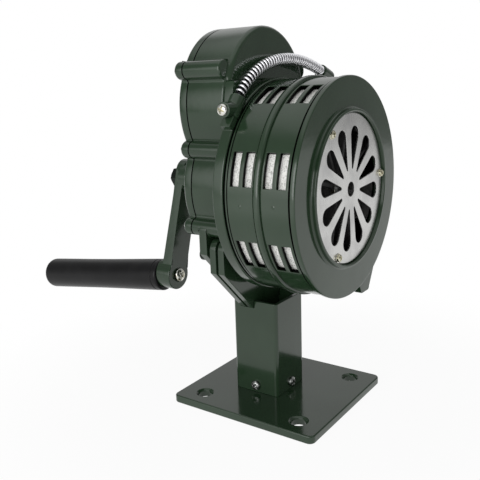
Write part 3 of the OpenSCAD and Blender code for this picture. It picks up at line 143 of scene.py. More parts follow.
class Signal:
    """A socket in a shader tree. Python's operators on it add Math nodes."""

    def __init__(self, bench: "Bench", socket: bpy.types.NodeSocket | None) -> None:
        """Wraps an output socket of a node on a bench."""
        self.bench = bench
        self.socket = socket

    def _maths(self, operation: str, first: "Signal | float", second: "Signal | float") -> "Signal":
        """Adds a Math node for an operation on two values."""
        return self.bench.add("ShaderNodeMath", {"operation": operation}, {0: first, 1: second})

    def __add__(self, other: "Signal | float") -> "Signal":
        """Sum."""
        return self._maths("ADD", self, other)

    def __radd__(self, other: float) -> "Signal":
        """Sum with a number in front."""
        return self._maths("ADD", other, self)

    def __sub__(self, other: "Signal | float") -> "Signal":
        """Difference."""
        return self._maths("SUBTRACT", self, other)

    def __rsub__(self, other: float) -> "Signal":
        """Difference from a number in front."""
        return self._maths("SUBTRACT", other, self)

    def __mul__(self, other: "Signal | float") -> "Signal":
        """Product."""
        return self._maths("MULTIPLY", self, other)

    def __rmul__(self, other: float) -> "Signal":
        """Product with a number in front."""
        return self._maths("MULTIPLY", other, self)

    def __pow__(self, other: float) -> "Signal":
        """Power."""
        return self._maths("POWER", self, other)

    def larger(self, other: "Signal | float") -> "Signal":
        """The larger of two values."""
        return self._maths("MAXIMUM", self, other)

    def step(self, low: float, high: float) -> "Signal":
        """Rises smoothly from 0 at low to 1 at high.

        Args:
            low: Value where the rise starts.
            high: Value where the rise ends.

        Returns:
            The smooth step.
        """
        settings = {"interpolation_type": "SMOOTHSTEP"}
        return self.bench.add("ShaderNodeMapRange", settings, {0: self, 1: low, 2: high, 3: 0.0, 4: 1.0})

    def beside(self, name: int | str) -> "Signal":
        """Another output of the node that this signal comes from."""
        return Signal(self.bench, self.socket.node.outputs[name])


class Bench:
    """Builds the nodes of one material or of the world."""

    def __init__(self, owner: bpy.types.Material | bpy.types.World) -> None:
        """Empties the owner's node tree, ready to build in.

        Args:
            owner: The material or world that the nodes are for.
        """
        owner.use_nodes = True
        self.owner = owner
        self.tree = owner.node_tree
        self.tree.nodes.clear()

    def add(
        self, kind: str, settings: dict | None = None, values: dict | None = None, out: int | str = 0
    ) -> Signal:
        """Adds any node.

        Args:
            kind: The node's type name.
            settings: Attributes of the node, set before its sockets.
            values: Numbers, colours or signals for its input sockets, by name or number.
            out: The output that the returned signal stands for.

        Returns:
            The signal of that output, or an empty one where the node has no output.
        """
        node = self.tree.nodes.new(kind)
        for name, setting in (settings or {}).items():
            setattr(node, name, setting)
        for key, value in (values or {}).items():
            if isinstance(value, Signal):
                self.tree.links.new(value.socket, node.inputs[key])
            else:
                node.inputs[key].default_value = value
        return Signal(self, node.outputs[out] if len(node.outputs) else None)

    def number(self, value: float) -> Signal:
        """A number as a signal, to start a chain of signals from.

        Args:
            value: The number.

        Returns:
            A signal that has it everywhere.
        """
        signal = self.add("ShaderNodeValue")
        signal.socket.default_value = value
        return signal

    def place(self) -> Signal:
        """Object coordinates, in metres of the part's frame."""
        return self.add("ShaderNodeTexCoord", out="Object")

    def split(self, vector: Signal) -> tuple[Signal, Signal, Signal]:
        """The X, Y and Z of a vector."""
        side = self.add("ShaderNodeSeparateXYZ", {}, {0: vector})
        return side, side.beside(1), side.beside(2)

    def noise(self, place: Signal, waves: Waves) -> Signal:
        """Smooth noise about 0.5.

        Args:
            place: Where it is read.
            waves: Its scale and octaves.

        Returns:
            The noise value.
        """
        scale = waves.scale
        if isinstance(scale, tuple):
            place = self.add("ShaderNodeMapping", {"vector_type": "POINT"}, {0: place, 3: scale})
            scale = 1.0
        values = {"Vector": place, "Scale": scale, "Detail": waves.detail, "Roughness": waves.keep}
        return self.add("ShaderNodeTexNoise", {}, values)

    def blend(self, share: Signal | float, first: Signal | Colour, second: Signal | Colour) -> Signal:
        """Mixes two colours, from the first at share 0 to the second at share 1."""
        return self.add("ShaderNodeMix", {"data_type": "RGBA"}, {0: share, 6: first, 7: second}, out=2)

    def bump(self, height: Signal, height_mm: float, over: Signal | None = None) -> Signal:
        """Tilts the surface's normal as a height does.

        Args:
            height: Height from 0 to 1.
            height_mm: What a height of 1 is in millimetres.
            over: A bump that this one lies on.

        Returns:
            The normal.
        """
        values = {"Strength": 1.0, "Distance": height_mm * MM, "Height": height}
        if over is not None:
            values["Normal"] = over
        return self.add("ShaderNodeBump", {}, values)

    def surface(self, values: dict, slot: Slot) -> "Finish":
        """Ends the tree with a Principled shader.

        Args:
            values: Numbers, colours or signals for the shader's sockets.
            slot: The record's slot that the finish is for.

        Returns:
            The finish.
        """
        shader = self.add("ShaderNodeBsdfPrincipled", {}, values)
        self.add("ShaderNodeOutputMaterial", {}, {"Surface": shader})
        return Finish(self.owner, slot)


# Finishes


@dataclass(frozen=True)
class Finish:
    """A material and the record's slot that it is for."""

    material: bpy.types.Material
    slot: Slot


class Grain(Enum):
    """How the metal under the enamel was made: the waves and lines that show in its gloss."""

    CAST = (Waves(65.0, height_mm=0.11), Waves(260.0, height_mm=0.014))
    ROLLED = (Waves(30.0, height_mm=0.04),)
    DRAWN = (Waves((330.0, 330.0, 4.0), 3.0, height_mm=0.035),)


@dataclass(frozen=True)
class Seam:
    """A ring about the horn's axis where shade is painted dark, with soft edges."""

    low_y: float
    high_y: float
    reach_r: float
    soft_y: float = 0.15
    soft_r: float = 0.3

    def mask(self, along: Signal, out: Signal) -> Signal:
        """Tells where the seam's painted shade lies.

        Args:
            along: Y of a point, in metres.
            out: The point's distance from the horn's axis, in metres.

        Returns:
            1 within the seam's span of Y and under its radius, 0 elsewhere.
        """
        rise = along.step((self.low_y - self.soft_y) * MM, self.low_y * MM)
        fall = 1.0 - along.step(self.high_y * MM, (self.high_y + self.soft_y) * MM)
        return rise * fall * (1.0 - out.step((self.reach_r - self.soft_r) * MM, self.reach_r * MM))


@dataclass(frozen=True)
class Pip:
    """A raised mark that an ejector pin left in a casting: a low cone with a soft foot.

    The slope starts at a radius below zero, so that the tip is a point.
    """

    middle: Triple
    start_r: float = -0.7
    foot_r: float = 1.5
    height_mm: float = 0.4

    def height(self, bench: Bench, place: Signal) -> Signal:
        """The mark's height, from 0 to 1.

        Args:
            bench: The bench of the material.
            place: Object coordinates.

        Returns:
            One less the smooth step of the distance from the mark's middle.
        """
        values = {0: place, 1: tuple(value * MM for value in self.middle)}
        away = bench.add("ShaderNodeVectorMath", {"operation": "DISTANCE"}, values, out="Value")
        return 1.0 - away.step(self.start_r * MM, self.foot_r * MM)


@dataclass(frozen=True)
class Enamel:
    """Glossy dark green enamel. Its gloss shows how the metal under it was made."""

    name: str
    grain: Grain
    seams: tuple[Seam, ...] = ()
    pips: tuple[Pip, ...] = ()
    colour: Colour = shade(31, 49, 32)
    pale: Colour = shade(36, 54, 37)
    # Colour of the shade painted into the seams
    painted_shade: Colour = shade(4, 5, 4)
    drift: Waves = Waves(18.0, 3.0)
    pale_span: Span = (0.35, 0.7)
    dust: Waves = Waves(1500.0, 1.0)
    dust_span: Span = (0.6, 0.8)
    peel: Waves = Waves(420.0, height_mm=0.004)
    roughness: float = 0.11
    drift_dulls: float = 0.05
    dust_dulls: float = 0.05
    # Roughness of the shade painted into the seams
    painted_shade_roughness: float = 0.7
    coat: float = 0.12
    coat_roughness: float = 0.05

    def make(self) -> Finish:
        """Builds the material: a sharp gloss over colour that drifts a little from place to place.

        Shade in the seams is painted as a dark metal without a coat, so that nothing glints there.

        Returns:
            The finish.
        """
        bench = Bench(bpy.data.materials.new(self.name))
        place = bench.place()
        drift = bench.noise(place, self.drift)
        dust = bench.noise(place, self.dust).step(*self.dust_span)
        values = {
            "Base Color": bench.blend(drift.step(*self.pale_span), self.colour, self.pale),
            "Roughness": self.roughness + self.drift_dulls * drift + self.dust_dulls * dust,
            "Coat Weight": self.coat * drift,
            "Coat Roughness": self.coat_roughness,
            "Normal": self._normal(bench, place),
        }
        # Painted shade in the seams: a dark metal without a coat
        if self.seams:
            seam_shade = self._painted_shade(bench, place)
            values["Base Color"] = bench.blend(seam_shade, values["Base Color"], self.painted_shade)
            values["Metallic"] = seam_shade
            values["Roughness"] = values["Roughness"].larger(self.painted_shade_roughness * seam_shade)
            values["Coat Weight"] = values["Coat Weight"] * (1.0 - seam_shade)
        return bench.surface(values, Slot.ENAMEL)

    def _normal(self, bench: Bench, place: Signal) -> Signal:
        """The tilt of the gloss: the paint's peel, then the metal's grain, then the pips.

        Args:
            bench: The bench of the material.
            place: Object coordinates.

        Returns:
            The normal.
        """
        normal = None
        for waves in (self.peel, *self.grain.value):
            normal = bench.bump(bench.noise(place, waves), waves.height_mm, normal)
        for pip in self.pips:
            normal = bench.bump(pip.height(bench, place), pip.height_mm, normal)
        return normal

    def _painted_shade(self, bench: Bench, place: Signal) -> Signal:
        """Tells where any seam's painted shade lies.

        The distance from the horn's axis is the root of the squared X plus the squared height
        over the axis.

        Args:
            bench: The bench of the material.
            place: Object coordinates.

        Returns:
            1 in a seam, 0 elsewhere.
        """
        side, along, height = bench.split(place)
        lift = height - horn_axis().z
        out = (side * side + lift * lift) ** 0.5
        seam_shade = bench.number(0.0)
        for seam in self.seams:
            seam_shade = seam_shade.larger(seam.mask(along, out))
        return seam_shade


@dataclass(frozen=True)
class SatinSheet:
    """Thin bright sheet with a fine brushed lay and faint smudges."""

    name: str
    colour: Colour = shade(205, 205, 203)
    dull: Colour = shade(186, 186, 185)
    lay: Waves = Waves((1500.0, 60.0, 90.0), 3.0, height_mm=0.004)
    smudge: Waves = Waves(55.0, 3.0, 0.6, height_mm=0.03)
    dull_span: Span = (0.4, 0.75)
    roughness: float = 0.19
    smudge_dulls: float = 0.10
    lay_dulls: float = 0.06

    def make(self) -> Finish:
        """Builds the material: a metal whose roughness follows stretched noise.

        Returns:
            The finish.
        """
        bench = Bench(bpy.data.materials.new(self.name))
        place = bench.place()
        lay = bench.noise(place, self.lay)
        smudge = bench.noise(place, self.smudge)
        smeared = bench.bump(smudge, self.smudge.height_mm)
        values = {
            "Base Color": bench.blend(smudge.step(*self.dull_span), self.colour, self.dull),
            "Metallic": 1.0,
            "Roughness": self.roughness + self.smudge_dulls * smudge + self.lay_dulls * lay,
            "Normal": bench.bump(lay, self.lay.height_mm, smeared),
        }
        return bench.surface(values, Slot.SATIN)


@dataclass(frozen=True)
class Plated:
    """Plate on screws and spring wire, bright or blackened, with patches of another tint."""

    name: str
    colour: Colour = shade(220, 220, 214)
    tint: Colour = shade(202, 196, 170)
    roughness: float = 0.16
    patch: Waves = Waves(240.0, 3.0)
    tint_span: Span = (0.45, 0.75)
    patch_dulls: float = 0.12
    fine: Waves = Waves(2400.0, height_mm=0.003)

    def make(self) -> Finish:
        """Builds the material: metal whose tint and roughness follow the patches.

        Returns:
            The finish.
        """
        bench = Bench(bpy.data.materials.new(self.name))
        place = bench.place()
        patch = bench.noise(place, self.patch)
        values = {
            "Base Color": bench.blend(patch.step(*self.tint_span), self.colour, self.tint),
            "Metallic": 1.0,
            "Roughness": self.roughness + self.patch_dulls * patch,
            "Normal": bench.bump(bench.noise(place, self.fine), self.fine.height_mm),
        }
        return bench.surface(values, Slot.PLATED)


@dataclass(frozen=True)
class Turned:
    """Turned or hobbed metal: steel of gears and shafts, or bronze of bushes."""

    name: str
    slot: Slot
    colour: Colour
    worn: Colour
    rings: Waves = Waves((40.0, 1800.0, 40.0), height_mm=0.004)
    oil: Waves = Waves(90.0, 3.0)
    worn_span: Span = (0.4, 0.7)
    roughness: float = 0.28
    oil_dulls: float = 0.16

    def make(self) -> Finish:
        """Builds the material: metal with fine tool rings about the Y axis.

        Returns:
            The finish.
        """
        bench = Bench(bpy.data.materials.new(self.name))
        place = bench.place()
        oil = bench.noise(place, self.oil)
        values = {
            "Base Color": bench.blend(oil.step(*self.worn_span), self.colour, self.worn),
            "Metallic": 1.0,
            "Roughness": self.roughness + self.oil_dulls * oil,
            "Normal": bench.bump(bench.noise(place, self.rings), self.rings.height_mm),
        }
        return bench.surface(values, self.slot)


@dataclass(frozen=True)
class CastAlloy:
    """Rough light cast alloy of the rotor, with painted shade within its ring and at its rear edge."""

    name: str
    colour: Colour = shade(232, 232, 228)
    speck: Colour = shade(128, 129, 126)
    # Colours of painted shade: inside the ring, and at the rear edge
    inner: Colour = shade(66, 66, 66)
    rear_shade: Colour = shade(62, 64, 60)
    grain: Waves = Waves(900.0, 3.0, 0.7, height_mm=0.16)
    lumps: Waves = Waves(260.0, height_mm=0.12)
    speck_span: Span = (0.44, 0.74)
    # Where the painted shade at the rear edge starts in Y, and how far it strays with the grain
    rear_shade_y: Span = (-11.0, -3.0)
    rear_shade_stray: float = 10.0
    ring_r: float = 72.6
    ring_soft: float = 1.5
    metallic: float = 0.15
    roughness: float = 0.55
    grain_dulls: float = 0.2

    def make(self) -> Finish:
        """Builds the material: a grainy skin, with painted shade where it is near the horn's axis.

        The painted shade at the rear edge lies where Y, plus the stray length times the grain, is past
        the span of Y that it starts in.

        Returns:
            The finish.
        """
        bench = Bench(bpy.data.materials.new(self.name))
        place = bench.place()
        side, along, height = bench.split(place)
        rise = height - horn_axis().z
        out = (side * side + rise * rise) ** 0.5
        grain = bench.noise(place, self.grain)
        skin = bench.blend(grain.step(*self.speck_span), self.colour, self.speck)
        # Painted shade over the rear edge
        start, full = (value * MM for value in self.rear_shade_y)
        skin = bench.blend((along + self.rear_shade_stray * MM * grain).step(start, full), skin, self.rear_shade)
        # Painted shade inside the ring
        edge = out.step((self.ring_r - self.ring_soft) * MM, self.ring_r * MM)
        lumpy = bench.bump(bench.noise(place, self.lumps), self.lumps.height_mm)
        values = {
            "Base Color": bench.blend(edge, self.inner, skin),
            "Metallic": self.metallic,
            "Roughness": self.roughness + self.grain_dulls * grain,
            "Normal": bench.bump(grain, self.grain.height_mm, lumpy),
        }
        return bench.surface(values, Slot.ALLOY)


@dataclass(frozen=True)
class MouldedGrip:
    """Black moulded plastic with a soft sheen."""

    name: str
    colour: Colour = shade(17, 17, 18)
    rubbed: Colour = shade(23, 23, 24)
    grain: Waves = Waves(1700.0, height_mm=0.008)
    rub: Waves = Waves(40.0, 3.0)
    rubbed_span: Span = (0.4, 0.75)
    roughness: float = 0.24
    rub_dulls: float = 0.12
    grain_dulls: float = 0.05
    specular: float = 0.2

    def make(self) -> Finish:
        """Builds the material: fine spark-eroded grain and faint rubbed patches.

        Returns:
            The finish.
        """
        bench = Bench(bpy.data.materials.new(self.name))
        place = bench.place()
        grain = bench.noise(place, self.grain)
        rub = bench.noise(place, self.rub)
        values = {
            "Base Color": bench.blend(rub.step(*self.rubbed_span), self.colour, self.rubbed),
            "Roughness": self.roughness + self.rub_dulls * rub + self.grain_dulls * grain,
            "Specular IOR Level": self.specular,
            "Normal": bench.bump(grain, self.grain.height_mm),
        }
        return bench.surface(values, Slot.GRIP)


# Painted shade in rings of the horn: behind its front cover, in its slots, in its rear groove
# and at its flange
HORN_SEAMS = (
    Seam(-62.3, -60.3, 79.6),
    Seam(-60.3, -13.0, 78.55),
    Seam(-12.9, -12.15, 79.6),
    Seam(-10.9, -9.5, 79.6),
)
# Marks of ejector pins at the drum's left
HORN_PIPS = (Pip((-79.0, -49.1, 173.8)), Pip((-78.9, -22.8, 172.3)))
# Painted shade in the joint of the gear housing and its rear cover, at any distance from the axis
CASE_SEAMS = (Seam(38.6, 39.5, 200.0),)


@dataclass
class Finishes:
    """The finishes, each made once."""

    cast: Finish = field(default_factory=Enamel("enamel_cast", Grain.CAST).make)
    case: Finish = field(default_factory=Enamel("enamel_case", Grain.CAST, CASE_SEAMS).make)
    horn: Finish = field(default_factory=Enamel("enamel_horn", Grain.CAST, HORN_SEAMS, HORN_PIPS).make)
    rolled: Finish = field(default_factory=Enamel("enamel_rolled", Grain.ROLLED).make)
    drawn: Finish = field(default_factory=Enamel("enamel_drawn", Grain.DRAWN).make)
    satin: Finish = field(default_factory=SatinSheet("satin_sheet").make)
    plated: Finish = field(default_factory=Plated("plated").make)
    brassy: Finish = field(
        default_factory=Plated("yellow_zinc", shade(206, 203, 182), shade(158, 151, 122), 0.07).make
    )
    zinc: Finish = field(
        default_factory=Plated("dull_zinc", shade(168, 170, 168), shade(96, 98, 94), 0.12).make
    )
    bright_wire: Finish = field(
        default_factory=Plated("bright_wire", shade(240, 240, 243), shade(222, 222, 226), 0.2).make
    )
    blackened: Finish = field(
        default_factory=Plated("blackened_plate", shade(44, 50, 45), shade(34, 38, 35), 0.3).make
    )
    steel: Finish = field(
        default_factory=Turned("turned_steel", Slot.STEEL, shade(150, 152, 154), shade(118, 119, 120)).make
    )
    # A darker copy of the turned steel: painted shade for the cable inside the spring
    dark_steel: Finish = field(
        default_factory=Turned("shaded_cable_steel", Slot.STEEL, shade(46, 46, 48), shade(30, 30, 31)).make
    )
    bronze: Finish = field(
        default_factory=Turned("bush_bronze", Slot.BRONZE, shade(176, 138, 84), shade(140, 104, 58)).make
    )
    alloy: Finish = field(default_factory=CastAlloy("cast_alloy").make)
    grip: Finish = field(default_factory=MouldedGrip("grip_plastic").make)


# Surfaces


def unit_rows(vectors: np.ndarray) -> np.ndarray:
    """Each row of an array divided by its length."""
    return vectors / np.linalg.norm(vectors, axis=-1, keepdims=True)


def rise_share(share: np.ndarray) -> np.ndarray:
    """The smooth step of a share: 3 times its square less 2 times its cube."""
    return share * share * (3 - 2 * share)


def grid_faces(rows: int, columns: int) -> np.ndarray:
    """Quads of a grid whose last column joins its first.

    Args:
        rows: Points down.
        columns: Points round.

    Returns:
        Four point numbers for each quad, where point (i, j) has number i * columns + j.
    """
    down, round_ = np.meshgrid(np.arange(rows - 1), np.arange(columns), indexing="ij")
    here = down * columns + round_
    beside = down * columns + (round_ + 1) % columns
    return np.stack([here, beside, beside + columns, here + columns], -1).reshape(-1, 4)


def rounded(corners: list[Triple], steps: int = 6) -> np.ndarray:
    """An open profile with its inner corners rounded.

    At a corner of half angle h, an arc of radius r touches both sides at r / tan(h) from the corner,
    and its centre lies at r / sin(h) along the bisector. Points on the arc turn evenly from one
    touching point to the other.

    Args:
        corners: The profile's corners, each with the radius of its arc. The two ends have no arc.
        steps: Pieces of each arc.

    Returns:
        The profile's points.
    """
    points, reach = np.split(np.array(corners, float), [2], axis=1)
    reach = reach[1:-1]
    here = points[1:-1]
    back = unit_rows(points[:-2] - here)
    ahead = unit_rows(points[2:] - here)
    half = 0.5 * np.arccos(np.clip((back * ahead).sum(1, keepdims=True), -1, 1))
    centre = here + unit_rows(back + ahead) * reach / np.sin(half)
    start = here + back * reach / np.tan(half) - centre
    end = here + ahead * reach / np.tan(half) - centre
    sweep = np.pi - 2 * half[:, None]
    share = np.linspace(0, 1, steps + 1)[None, :, None]
    arcs = np.sin((1 - share) * sweep) * start[:, None] + np.sin(share * sweep) * end[:, None]
    arcs = centre[:, None] + arcs / np.sin(sweep)
    return np.concatenate([points[:1], arcs.reshape(-1, 2), points[-1:]])


def across(axis: np.ndarray) -> tuple[np.ndarray, np.ndarray]:
    """Two unit directions square to an axis and to each other.

    Args:
        axis: Unit direction.

    Returns:
        The first, which is level unless the axis is near the vertical, and the axis crossed
        with it.
    """
    helper = np.array([0.0, 0.0, 1.0]) if abs(axis[2]) < 0.9 else np.array([1.0, 0.0, 0.0])
    side = unit_rows(np.cross(helper, axis))
    return side, np.cross(axis, side)


def lathe(profile: np.ndarray, place: np.ndarray, axis: np.ndarray, steps: int) -> Surface:
    """A profile turned about an axis.

    A point is the place, plus the axis times how far along the profile is, plus the profile's radius
    times the cosine of the angle along one side direction and its sine along the other.

    Args:
        profile: Rows of radius and distance along the axis, in millimetres.
        place: Where the distance is zero, in millimetres.
        axis: Unit direction.
        steps: Points round.

    Returns:
        Points in metres and quads.
    """
    side, other = across(axis)
    angle = np.linspace(0, 2 * np.pi, steps, endpoint=False)[None, :, None]
    radius = profile[:, 0][:, None, None]
    along = profile[:, 1][:, None, None]
    points = place + along * axis + radius * (np.cos(angle) * side + np.sin(angle) * other)
    return points.reshape(-1, 3) * MM, grid_faces(len(profile), steps)


def wire(path: np.ndarray, outward: np.ndarray, radius: float, sides: int) -> Surface:
    """A round wire along a path.

    Each ring lies square to the path: its first direction is the outward one less its share along
    the path, and its second is the path's direction crossed with the first.

    Args:
        path: Rows of points in millimetres.
        outward: A direction at each point that isn't along the path.
        radius: Wire radius in millimetres.
        sides: Points round.

    Returns:
        Points in metres and quads, with each end drawn in to a point.
    """
    run = unit_rows(np.gradient(path, axis=0))
    first = unit_rows(outward - (outward * run).sum(1, keepdims=True) * run)
    second = np.cross(run, first)
    angle = np.linspace(0, 2 * np.pi, sides, endpoint=False)[None, :, None]
    rings = path[:, None] + radius * (np.cos(angle) * first[:, None] + np.sin(angle) * second[:, None])
    ends = np.repeat(path[[0, -1]][:, None], sides, axis=1)
    points = np.concatenate([ends[:1], rings, ends[1:]])
    return points.reshape(-1, 3) * MM, grid_faces(len(points), sides)


def joined(surfaces: list[Surface]) -> Surface:
    """Several surfaces as one, each keeping its own points.

    Args:
        surfaces: The surfaces.

    Returns:
        All their points, and their quads with the point numbers moved on.
    """
    counts = np.cumsum([0] + [len(points) for points, _ in surfaces])
    points = np.concatenate([points for points, _ in surfaces])
    faces = np.concatenate([faces + start for (_, faces), start in zip(surfaces, counts)])
    return points, faces


# The frame


def joint(name: str) -> dict:
    """A joint of the frame."""
    return next(entry for entry in frame["joints"] if entry["name"] == name)


def horn_axis() -> Vector:
    """A point on the horn's axis, in metres, from the crank's joint."""
    return Vector(joint("crank_turn")["pos_m"])


def cad_mesh(node: str) -> bpy.types.Mesh:
    """The mesh of a CAD node."""
    return frame["nodes"][node].data


def body_of(node: str) -> str:
    """The CAD body that a node rides on."""
    return frame["nodes"][node]["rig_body"]


def points_in(mesh: bpy.types.Mesh) -> np.ndarray:
    """The points of a mesh.

    Args:
        mesh: The mesh.

    Returns:
        One row for each point, in metres.
    """
    points = np.empty(len(mesh.vertices) * 3)
    mesh.vertices.foreach_get("co", points)
    return points.reshape(-1, 3)


def corners_in(parts: bpy.types.bpy_prop_collection, count: int) -> np.ndarray:
    """The point numbers of a mesh's edges or faces.

    Args:
        parts: The mesh's edges or polygons.
        count: Points of each.

    Returns:
        One row for each edge or face.
    """
    numbers = np.empty(len(parts) * count, int)
    parts.foreach_get("vertices", numbers)
    return numbers.reshape(-1, count)


def solids_of(node: str) -> list[np.ndarray]:
    """The points of each separate solid in a CAD node.

    Equal points are welded, and then the lowest point number spreads over each triangle until
    nothing changes, so points that hang together end with the same number.

    Args:
        node: The CAD node.

    Returns:
        Points in millimetres, one array for each solid.
    """
    mesh = cad_mesh(node)
    points, welded = np.unique(np.round(points_in(mesh) / WELD), axis=0, return_inverse=True)
    triangles = welded.ravel()[corners_in(mesh.polygons, 3)]
    label = np.arange(len(points))
    changed = True
    while changed:
        spread = label.copy()
        np.minimum.at(spread, triangles.ravel(), np.repeat(label[triangles].min(1), 3))
        spread = spread[spread]
        changed = bool((spread != label).any())
        label = spread
    return [points[label == number] * WELD / MM for number in np.unique(label)]


def middle_of(points: np.ndarray) -> np.ndarray:
    """The middle of the box round some points."""
    return (points.min(0) + points.max(0)) / 2


# Pieces


def placed(name: str, data: bpy.types.ID) -> bpy.types.Object:
    """A new object of a mesh, lamp or camera, in the scene.

    Args:
        name: Its name.
        data: The mesh, lamp or camera.

    Returns:
        The object.
    """
    thing = bpy.data.objects.new(name, data)
    bpy.context.scene.collection.objects.link(thing)
    return thing


def smooth(mesh: bpy.types.Mesh) -> None:
    """Shades every face smooth."""
    mesh.polygons.foreach_set("use_smooth", np.ones(len(mesh.polygons), bool))


def paint(mesh: bpy.types.Mesh, finish: Finish) -> None:
    """Gives a mesh a finish as its only one."""
    mesh.materials.clear()
    mesh.materials.append(finish.material)


def dress(node: str, finish: Finish) -> None:
    """Gives a CAD node that stays its finish."""
    paint(cad_mesh(node), finish)
    log.info("%s keeps its shape and takes %s", node, finish.material.name)


def settle(piece: bpy.types.Object, node: str, finish: Finish) -> None:
    """Puts a new piece in a CAD node's stead.

    Args:
        piece: The new piece, in place.
        node: The CAD node that it stands for.
        finish: Its finish.
    """
    paint(piece.data, finish)
    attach(piece, body_of(node))
    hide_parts(node)
    log.info("%s stands for %s in %s", piece.name, node, finish.material.name)


def shaped(name: str, surface: Surface, sharp_deg: float) -> bpy.types.Object:
    """Makes an object of a surface, with seams and poles closed and faces outwards.

    Args:
        name: The piece's name.
        surface: Points and quads.
        sharp_deg: Edges that bend more than this stay sharp.

    Returns:
        The object.
    """
    points, faces = surface
    mesh = bpy.data.meshes.new(name)
    mesh.from_pydata(points.tolist(), [], faces.tolist())
    build = bmesh.new()
    build.from_mesh(mesh)
    bmesh.ops.remove_doubles(build, verts=build.verts, dist=WELD)
    bmesh.ops.dissolve_degenerate(build, dist=WELD, edges=build.edges)
    bmesh.ops.recalc_face_normals(build, faces=build.faces)
    build.to_mesh(mesh)
    build.free()
    smooth(mesh)
    mesh.set_sharp_from_angle(angle=math.radians(sharp_deg))
    return placed(name, mesh)


@dataclass(frozen=True)
class Band:
    """Round edges about a line along Y that take a wider rounding than the rest."""

    low_y: float
    high_y: float
    inner_r: float
    outer_r: float
    ease_mm: float
    steps: int = 4
    over_axis: float = 0.0

    def holds(self, points: np.ndarray) -> np.ndarray:
        """Tells which points lie in the band.

        Args:
            points: Rows of points in millimetres.

        Returns:
            True for each point whose Y and distance from the line are both in their spans.
        """
        side, along, height = points.T
        out = np.hypot(side, height - horn_axis().z / MM - self.over_axis)
        return (out > self.inner_r) & (out < self.outer_r) & (along > self.low_y) & (along < self.high_y)

    def mark(self, mesh: bpy.types.Mesh) -> None:
        """Gives the edges whose ends share a Y and lie in the band their bevel weight.

        Args:
            mesh: The mesh of the edges.
        """
        points = points_in(mesh) / MM
        ends = corners_in(mesh.edges, 2)
        inside = self.holds(points)[ends].all(1)
        level = np.abs(np.diff(points[ends, 1]).ravel()) < LEVEL
        weights = mesh.attributes.new("bevel_weight_edge", "FLOAT", "EDGE")
        weights.data.foreach_set("value", (inside & level).astype(float))


def add_bevel(piece: bpy.types.Object, name: str, width_mm: float, steps: int) -> bpy.types.BevelModifier:
    """Adds a rounding of edges to a piece.

    Args:
        piece: The piece.
        name: The modifier's name.
        width_mm: Width of the rounding.
        steps: Pieces of each rounding.

    Returns:
        The modifier.
    """
    bevel = piece.modifiers.new(name, "BEVEL")
    bevel.width = width_mm * MM
    bevel.segments = steps
    bevel.use_clamp_overlap = False
    return bevel


def eased(
    name: str, node: str, ease_mm: float, steps: int = 2, band: Band | None = None
) -> bpy.types.Object:
    """A copy of a CAD node with its sharp edges rounded, as paint and casting round them.

    Args:
        name: The piece's name.
        node: The CAD node to copy.
        ease_mm: Width of the rounding.
        steps: Pieces of each rounding.
        band: Edges that are rounded wider, before the others.

    Returns:
        The object, with its modifiers live.
    """
    mesh = bpy.data.meshes.new(name)
    build = bmesh.new()
    build.from_mesh(cad_mesh(node))
    bmesh.ops.remove_doubles(build, verts=build.verts, dist=WELD)
    bmesh.ops.dissolve_degenerate(build, dist=WELD, edges=build.edges)
    flat = math.radians(FLAT_DEG)
    bmesh.ops.dissolve_limit(build, angle_limit=flat, verts=build.verts, edges=build.edges)
    build.to_mesh(mesh)
    build.free()
    for layer in [a for a in mesh.attributes if a.name == "custom_normal"]:
        mesh.attributes.remove(layer)
    smooth(mesh)
    piece = placed(name, mesh)
    if band is not None:
        band.mark(mesh)
        add_bevel(piece, "band", band.ease_mm, band.steps).limit_method = "WEIGHT"
    bevel = add_bevel(piece, "edges", ease_mm, steps)
    bevel.limit_method = "ANGLE"
    bevel.angle_limit = math.radians(SOFT_DEG)
    bevel.miter_outer = "MITER_SHARP"
    piece.modifiers.new("shading", "WEIGHTED_NORMAL")
    return piece


